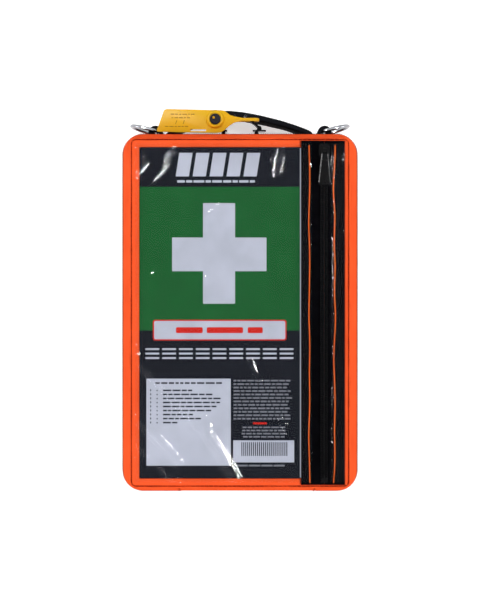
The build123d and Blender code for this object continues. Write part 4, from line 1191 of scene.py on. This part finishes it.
def make_box_stitches():
    """Two rows of stitches down each of the strap's patches."""
    low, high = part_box("handle_tabs")
    bm = bmesh.new()
    for side in (-1, 1):
        for across in (-3.8 * MM, 3.8 * MM):
            x = side * (high.x - PATCH_HALF) + across
            for z in spaced(low.z + 1.5 * MM, high.z - 1.5 * MM, PATCH_STITCH_PITCH):
                add_block(bm, PATCH_STITCH, (x, wall_y(z) + 1.5 * MM, z))
    soften(bm, 0.14 * MM)
    make_piece(bm, "patch_stitches", "case", ["black_webbing"])


# ---- Security seal ----

tag_low, tag_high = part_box("seal_tag")
insert_low, insert_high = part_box("seal_lock_insert")
tail_low, tail_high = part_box("seal_tail")
TAG_SHEET = 1.2 * MM
TAG_NECK = 1.1       # half the neck's width where the tail starts, in millimetres
# The tag's outline in millimetres: from its lower left corner along its lower edge to the
# neck, and back from the neck along its upper edge.
TAG_OUTLINE = (
    (-55.9, 121.7),
    (-55.2, 121.1),
    (-33.5, 120.6),
    (-16.0, 120.2),
    (-13.2, 120.6),
    (-10.6, 122.0),
    (-7.4, 124.9),
    (-3.8, 127.2),
)
TAG_BACK = (
    (-3.4, 131.2),
    (-6.6, 132.2),
    (-8.8, 133.9),
    (-10.4, 135.1),
    (-12.6, 135.5),
    (-49.0, 136.3),
    (-50.4, 135.9),
    (-51.2, 134.9),
)
SLOT_LEFT, SLOT_RIGHT = -33.2, -22.8
SLOT_LOW, SLOT_TOP = 121.5, 122.7
TOOTH = (0.7 * MM, 0.8 * MM, 0.5 * MM)
TOOTH_PITCH = 1.5
# The ring round the lock: radius and height above the sheet's face, in millimetres.
BOSS_PROFILE = (
    (6.4, -0.2),
    (6.1, 0.3),
    (5.8, 1.2),
    (5.3, 1.9),
    (4.7, 2.25),
    (4.1, 2.2),
    (3.72, 1.7),
    (3.66, 0.5),
)
NUB = 0.85 * MM            # radius of the small dome on the lock
SHARP = 1.2                # radians between faces at an edge that gets rounded


def add_loop(bm, points, level):
    """A closed run of edges through places in millimetres."""
    verts = [bm.verts.new((x * MM, y * MM, level)) for x, y in points]
    return [bm.edges.new((verts[turn - 1], verts[turn])) for turn in range(len(verts))]


def add_turned(bm, centre, profile, level, steps=40):
    """A ring turned round an upright axis."""
    first = None
    last = None
    for step in range(steps):
        angle = 2 * math.pi * step / steps
        row = [
            bm.verts.new(
                (centre.x + r * MM * math.cos(angle), centre.y + r * MM * math.sin(angle), level + h * MM)
            )
            for r, h in profile
        ]
        if last:
            join_rows(bm, last, row)
        first = first or row
        last = row
    join_rows(bm, last, first)


def join_rows(bm, one, other):
    """Faces between two rows of as many vertices."""
    for turn in range(len(one) - 1):
        bm.faces.new((one[turn], other[turn], other[turn + 1], one[turn + 1]))


def make_seal_plate():
    """The seal's tag with its slot, teeth, neck and the raised ring round its lock."""
    face = tag_low.z + TAG_SHEET
    middle = (insert_low + insert_high) / 2
    eye = (tail_low.y + tail_high.y) / 2 / MM
    end = tail_low.x / MM if tail_low.x > middle.x else tag_high.x / MM
    outline = TAG_OUTLINE + ((end, eye - TAG_NECK), (end, eye + TAG_NECK)) + TAG_BACK
    slot = ((SLOT_LEFT, SLOT_LOW), (SLOT_RIGHT, SLOT_LOW), (SLOT_RIGHT, SLOT_TOP), (SLOT_LEFT, SLOT_TOP))
    bm = bmesh.new()
    edges = add_loop(bm, outline, face) + add_loop(bm, slot, face)
    bmesh.ops.triangle_fill(bm, use_beauty=True, use_dissolve=True, edges=edges)
    bm.normal_update()
    if sum(f.normal.z for f in bm.faces) < 0:
        bmesh.ops.reverse_faces(bm, faces=bm.faces)
    thicken(bm, TAG_SHEET)
    rims = [e for e in bm.edges if len(e.link_faces) == 2 and e.calc_face_angle() > SHARP]
    soften(bm, 0.22 * MM, 2, rims, clamp=True)
    add_turned(bm, middle, BOSS_PROFILE, face)
    for x in spaced(SLOT_LEFT, SLOT_RIGHT + 5.0, TOOTH_PITCH):
        add_bar(bm, (x * MM, (SLOT_LOW - 0.5) * MM, face), 0.4, TOOTH)
    nub = Vector((middle.x - 1.0 * MM, middle.y + 0.9 * MM, insert_high.z))
    bmesh.ops.create_uvsphere(
        bm, u_segments=16, v_segments=10, radius=NUB, matrix=Matrix.Translation(nub)
    )
    make_piece(bm, "seal_plate", "security_seal", ["yellow_plastic"], ["seal_tag"], smooth_angle=50)


def make_seal_print():
    """Faint dashes and two strokes on the tag in place of its printing."""
    rng = random.Random(SEED + 2)
    face = tag_low.z + TAG_SHEET
    ink = Print("seal_dashes", "seal_ink", base=face, body="security_seal", slot="yellow_plastic")
    for left, right, bottom in ((-46.4, -29.6, 132.5), (-46.0, -31.6, 130.1), (-50.2, -31.4, 124.3)):
        ink.words(left, right, bottom, 0.62, rng, word=(1.2, 3.4), gap=0.7)
    for left in (-43.4, -38.4):
        ink.block(left, left + 0.45, 126.2, 128.7, 0.9)
    ink.done()


# ---- Contents ----


PACK_RIM = 4.0 * MM        # crimped flat end of a pack
PACK_SIDE = 1.2 * MM       # flat seam along its sides
PACK_EDGE = 0.3 * MM       # half the thickness of the rim


def make_pack(name, node_name, finish_name, part, seed):
    """A sealed soft pack: a swollen body with a crimped flat rim."""
    low, high = part
    size = high - low
    bm = bmesh.new()
    bmesh.ops.create_grid(bm, x_segments=44, y_segments=60, size=0.5)
    middle = (low + high) / 2
    for vert in bm.verts:
        x, y = vert.co.x * size.x, vert.co.y * size.y
        edge_x, edge_y = size.x / 2 - abs(x), size.y / 2 - abs(y)
        swell_x = min(1.0, max(0.0, edge_x - PACK_SIDE) / (7 * MM))
        swell_y = min(1.0, max(0.0, edge_y - PACK_RIM) / (9 * MM))
        swell = math.sqrt(math.sin(swell_x * math.pi / 2) * math.sin(swell_y * math.pi / 2))
        vert.co = Vector((middle.x + x, middle.y + y, swell))
    top = size.z / 2
    doubled = bmesh.ops.duplicate(bm, geom=bm.verts[:] + bm.edges[:] + bm.faces[:])["geom"]
    under = set(verts_in(doubled))
    for vert in bm.verts:
        swell = vert.co.z
        creases = abs(wrinkle((vert.co.x, vert.co.y, seed), 13 * MM, seed))
        small = wrinkle((vert.co.x, vert.co.y, seed), 4 * MM, seed + 1)
        crimp = 0.12 * MM * math.sin(vert.co.y / (0.8 * MM)) if swell < 0.01 else 0.0
        height = PACK_EDGE + (top - PACK_EDGE) * swell * (1 - 0.12 * creases - 0.03 * small)
        vert.co.z = middle.z + (-height if vert in under else height) + crimp
    bmesh.ops.reverse_faces(bm, faces=[f for f in bm.faces if f.verts[0] in under])
    rims = [e for e in bm.edges if e.is_boundary]
    bmesh.ops.bridge_loops(bm, edges=rims)
    outwards(bm)
    pack = make_piece(bm, name, "case", [finish_name], [node_name] if node_name else ())


def make_packs():
    """The soft packs, each in the room of its own block."""
    make_pack("bandage_wrap", "bandage_pack", "pack_film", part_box("bandage_pack"), 1)
    make_pack("dressing_wrap", "dressing_pack", "pale_film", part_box("dressing_pack"), 2)
    make_pack("gauze_wrap", "gauze_pack", "pack_film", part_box("gauze_pack"), 3)
    low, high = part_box("glove_packs")
    half = (low.z + high.z) / 2
    lower = (low, Vector((high.x, high.y, half - 0.15 * MM)))
    upper = (Vector((low.x, low.y, half + 0.15 * MM)), high)
    make_pack("glove_wrap_lower", "glove_packs", "blue_film", lower, 4)
    make_pack("glove_wrap_upper", None, "blue_film", upper, 5)


PLIES = 4
PLY = 1.6 * MM
PLY_CUTS = 40


def add_ply(bm, width, length, middle, thickness):
    """A flat length of strap, cut across so that it can ripple."""
    made = add_block(bm, (width, length, thickness), middle)
    own_edges = [e for e in bm.edges if e.verts[0] in made]
    lengthwise = [e for e in own_edges if abs(e.verts[0].co.y - e.verts[1].co.y) > TINY]
    bmesh.ops.subdivide_edges(bm, edges=lengthwise, cuts=PLY_CUTS, use_grid_fill=True)


def make_tourniquet_strap():
    """The tourniquet's strap, folded in four plies, with the tongue that runs to the buckle."""
    low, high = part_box("tourniquet_strap")
    width = high.x - low.x
    stack = high.z - low.z - PLY
    rise = stack / PLIES
    length = high.y * 2 - stack
    centre_x = (low.x + high.x) / 2
    on_side = Matrix.Rotation(math.pi / 2, 4, "Y")
    bm = bmesh.new()
    for count in range(PLIES):
        add_ply(bm, width, length, (centre_x, 0, low.z + rise * (count + 0.5)), rise * 0.86)
    for count, end in ((1, -1), (0, 1), (2, 1)):
        made = bmesh.ops.create_circle(bm, cap_ends=True, segments=20, radius=rise * 0.93)["verts"]
        fold = Matrix.Translation((low.x, end * length / 2, low.z + rise * (count + 1)))
        bmesh.ops.transform(bm, matrix=fold @ on_side, verts=made)
        grown = bmesh.ops.extrude_face_region(bm, geom=made[0].link_faces[:])["geom"]
        bmesh.ops.translate(bm, vec=(width, 0, 0), verts=verts_in(grown))
    tongue = high.y - low.y
    add_ply(bm, width, tongue, (centre_x, (low.y + high.y) / 2, high.z - PLY / 2), PLY * 0.9)
    bmesh.ops.recalc_face_normals(bm, faces=bm.faces)
    push(bm, lambda point: 0.1 * MM * wrinkle(point, 6 * MM, 4))
    make_piece(bm, "folded_strap", "case", ["black_strap"], ["tourniquet_strap"])


def make_woven_block(name, body, node_name, finish_name):
    """A short length of webbing where a plain block of cloth is."""
    low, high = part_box(node_name)
    bm = bmesh.new()
    add_block(bm, high - low, (low + high) / 2)
    bmesh.ops.subdivide_edges(bm, edges=bm.edges[:], cuts=12, use_grid_fill=True)
    least = min(high - low)
    push(bm, lambda point: 0.08 * least * wrinkle(point, 5 * MM, 2))
    make_piece(bm, name, body, [finish_name], [node_name])


# ---- CAD pieces that keep their own shape ----

KEPT = {
    "black_zip_metal": (
        "main_zip_slider_left",
        "main_zip_slider_right",
        "main_zip_pull_left",
        "main_zip_pull_right",
        "front_zip_slider",
        "front_zip_pull",
        "front_zip_stops",
    ),
    "chrome_wire": ("d_ring_left", "d_ring_right"),
    "yellow_plastic": ("seal_tail", "spare_seals"),
    "dark_insert": ("seal_lock_insert",),
    "black_plastic": (
        "tourniquet_base_plate",
        "tourniquet_windlass",
        "tourniquet_keeper",
        "tourniquet_buckle",
    ),
    "clear_ampoule": ("ampoules",),
    "blue_plastic": ("ampoule_caps",),
    "marker_plastic": ("marker_body", "marker_cap"),
    "blade_steel": ("shears_blade_fixed", "shears_blade_moving", "shears_screw"),
    "shears_plastic": ("shears_handle_fixed", "shears_handle_moving"),
}


def finish_kept():
    """Gives the pieces that keep their own shape their finishes."""
    for word, names in KEPT.items():
        for name in names:
            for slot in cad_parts[name].material_slots:
                slot.material = FINISH[word]


# ---- Floor, light and camera ----


def seen_directly(owner):
    """1 for rays that come from the camera, a reflection or a view through glass."""
    rays = node(owner, "ShaderNodeLightPath")
    total = rays.outputs["Is Camera Ray"]
    for word in ("Is Glossy Ray", "Is Transmission Ray"):
        highest = node(owner, "ShaderNodeMath", operation="MAXIMUM")
        join(owner, total, highest.inputs[0])
        join(owner, rays.outputs[word], highest.inputs[1])
        total = highest.outputs[0]
    return total


FLOOR_SIZE = 6.0
FLOOR_LIFT = 0.55    # light of its own that the floor shows to the camera
SKY = 0.5            # strength of the white surroundings as a light


def make_floor():
    """A plain pale floor that keeps the shadow."""
    bm = bmesh.new()
    add_sheet(bm, (1, 1), (FLOOR_SIZE, FLOOR_SIZE), (0, 0, 0))
    mesh = bpy.data.meshes.new("floor")
    bm.to_mesh(mesh)
    bm.free()
    floor = bpy.data.objects.new("floor", mesh)
    bpy.context.collection.objects.link(floor)
    material = bpy.data.materials.new("floor_white")
    material.use_nodes = True
    material.node_tree.nodes.clear()
    matt = node(material, "ShaderNodeBsdfDiffuse")
    matt.inputs["Color"].default_value = (0.8, 0.8, 0.8, 1)
    glow = node(material, "ShaderNodeEmission")
    scaled = node(material, "ShaderNodeMath", operation="MULTIPLY")
    scaled.inputs[1].default_value = FLOOR_LIFT
    both = node(material, "ShaderNodeAddShader")
    out = node(material, "ShaderNodeOutputMaterial")
    join(material, seen_directly(material), scaled.inputs[0])
    join(material, scaled.outputs[0], glow.inputs["Strength"])
    join(material, matt.outputs[0], both.inputs[0])
    join(material, glow.outputs[0], both.inputs[1])
    join(material, both.outputs[0], out.inputs["Surface"])
    mesh.materials.append(material)


def make_world():
    """White surroundings, weaker as a light than as a background."""
    world = bpy.data.worlds.new("studio")
    bpy.context.scene.world = world
    world.use_nodes = True
    sky = world.node_tree.nodes["Background"]
    sky.inputs["Color"].default_value = (1, 1, 1, 1)
    join(world, spread_of(world, seen_directly(world), SKY, 1.0), sky.inputs["Strength"])


def add_lamp(name, place, size, power, only_reflected=False):
    """A soft lamp that looks at the middle of the pouch. Some show only in glossy things."""
    data = bpy.data.lights.new(name, "AREA")
    data.shape = "RECTANGLE"
    data.size, data.size_y = size
    data.energy = power
    lamp = bpy.data.objects.new(name, data)
    lamp.location = place
    lamp.rotation_euler = (-Vector(place)).to_track_quat("-Z", "Y").to_euler()
    lamp.visible_diffuse = not only_reflected
    bpy.context.collection.objects.link(lamp)


# Name, place, size and power of each lamp.
LAMPS = (
    ("key", (-0.45, 0.5, 1.0), (0.1, 0.1), 3.0),
    ("glint", (0.55, 0.35, 1.05), (0.08, 0.08), 2.8),
    ("softbox_left", (-0.6, -0.5, 0.9), (0.6, 0.4), 2.0),
    ("softbox_right", (0.6, -0.5, 0.9), (0.6, 0.4), 2.0),
    ("side_left", (-0.9, 0.0, 0.25), (0.5, 0.3), 2.2),
    ("side_right", (0.9, 0.0, 0.25), (0.5, 0.3), 2.2),
    ("side_low", (0.0, -0.9, 0.25), (0.5, 0.3), 1.8),
)
# These make the bright streaks in the clear panes.
REFLECTED_LAMPS = (
    ("strip_left", (-0.45, 0.5, 1.0), (0.24, 0.24), 32.0),
    ("strip_side", (-0.64, 0.18, 1.0), (0.24, 0.2), 28.0),
    ("strip_right", (0.6, 0.1, 1.0), (0.2, 0.2), 22.0),
    ("sheet_low", (-0.6, -0.5, 0.9), (0.6, 0.5), 9.0),
)

CAMERA_HEIGHT = 0.86
CAMERA_Y = 0.0083
VIEW_WIDTH = 0.312         # how much the picture shows across at the front face's level
VIEW_LEVEL = 0.06


def make_camera():
    """A camera over the pouch that looks straight down."""
    data = bpy.data.cameras.new("camera")
    data.sensor_fit = "HORIZONTAL"
    data.angle = 2 * math.atan(VIEW_WIDTH / 2 / (CAMERA_HEIGHT - VIEW_LEVEL))
    camera = bpy.data.objects.new("camera", data)
    camera.location = (0, CAMERA_Y, CAMERA_HEIGHT)
    bpy.context.collection.objects.link(camera)
    bpy.context.scene.camera = camera


# ---- The whole pouch ----

make_camera()
make_gusset("rear_side_cloth", "case", WALL, rear_tape_low.z, "rear_gusset", SEED)
make_gusset("front_side_cloth", "cover", panel_low.z, front_tape_high.z, "front_gusset", SEED + 3)
make_hinge_cloth()
make_main_tape("rear_zip_tape", "case", rear_tape_low.z, rear_tape_high.z, "main_zip_tape_rear")
make_main_tape("front_zip_tape", "cover", front_tape_low.z, front_tape_high.z, "main_zip_tape_front")
make_main_coil("rear_zip_loops", "case", "main_zip_coil_rear", 0.0)
make_main_coil("front_zip_loops", "cover", "main_zip_coil_front", COIL_PITCH / 2)
make_panel("back_cloth", "case", 0.0, WALL, "back_panel")
make_panel("front_cloth", "cover", panel_low.z, panel_high.z, "front_panel")
make_pocket_margin()
make_hinge_seams()
make_front_binding()
make_back_binding()
make_seam_thread()
make_card()
make_card_print()
make_front_tape("pocket_tape_left", "front_zip_tape_left", 1.0 * MM, 0.42 * MM, 1)
make_front_tape("pocket_tape_right", "front_zip_tape_right", 0.42 * MM, 0.0, 2)
make_front_coil("pocket_loops_left", "front_zip_coil_left", -1)
make_front_coil("pocket_loops_right", "front_zip_coil_right", 1)
make_pane("vinyl_window", "window_pane_left", pane_height, 0.76 * MM)
make_pane("vinyl_side_strip", "window_pane_right", side_pane_height, 0.5 * MM)
make_orange_stitching()
make_pull_rims()
make_ring_loop("ring_webbing_left", "d_ring_loop_left")
make_ring_loop("ring_webbing_right", "d_ring_loop_right")
make_handle()
make_handle_tabs()
make_box_stitches()
make_seal_plate()
make_seal_print()
make_packs()
make_tourniquet_strap()
make_woven_block("windlass_ribbon", "case", "tourniquet_ribbon", "black_strap")
make_woven_block("windlass_ribbon_loop", "windlass", "tourniquet_ribbon_loop", "black_strap")
make_woven_block("time_strap", "case", "tourniquet_time_strap", "white_strap")
finish_kept()

make_floor()
make_world()
for lamp in LAMPS:
    add_lamp(*lamp)
for lamp in REFLECTED_LAMPS:
    add_lamp(*lamp, only_reflected=True)
bpy.context.scene.view_settings.view_transform = "Standard"
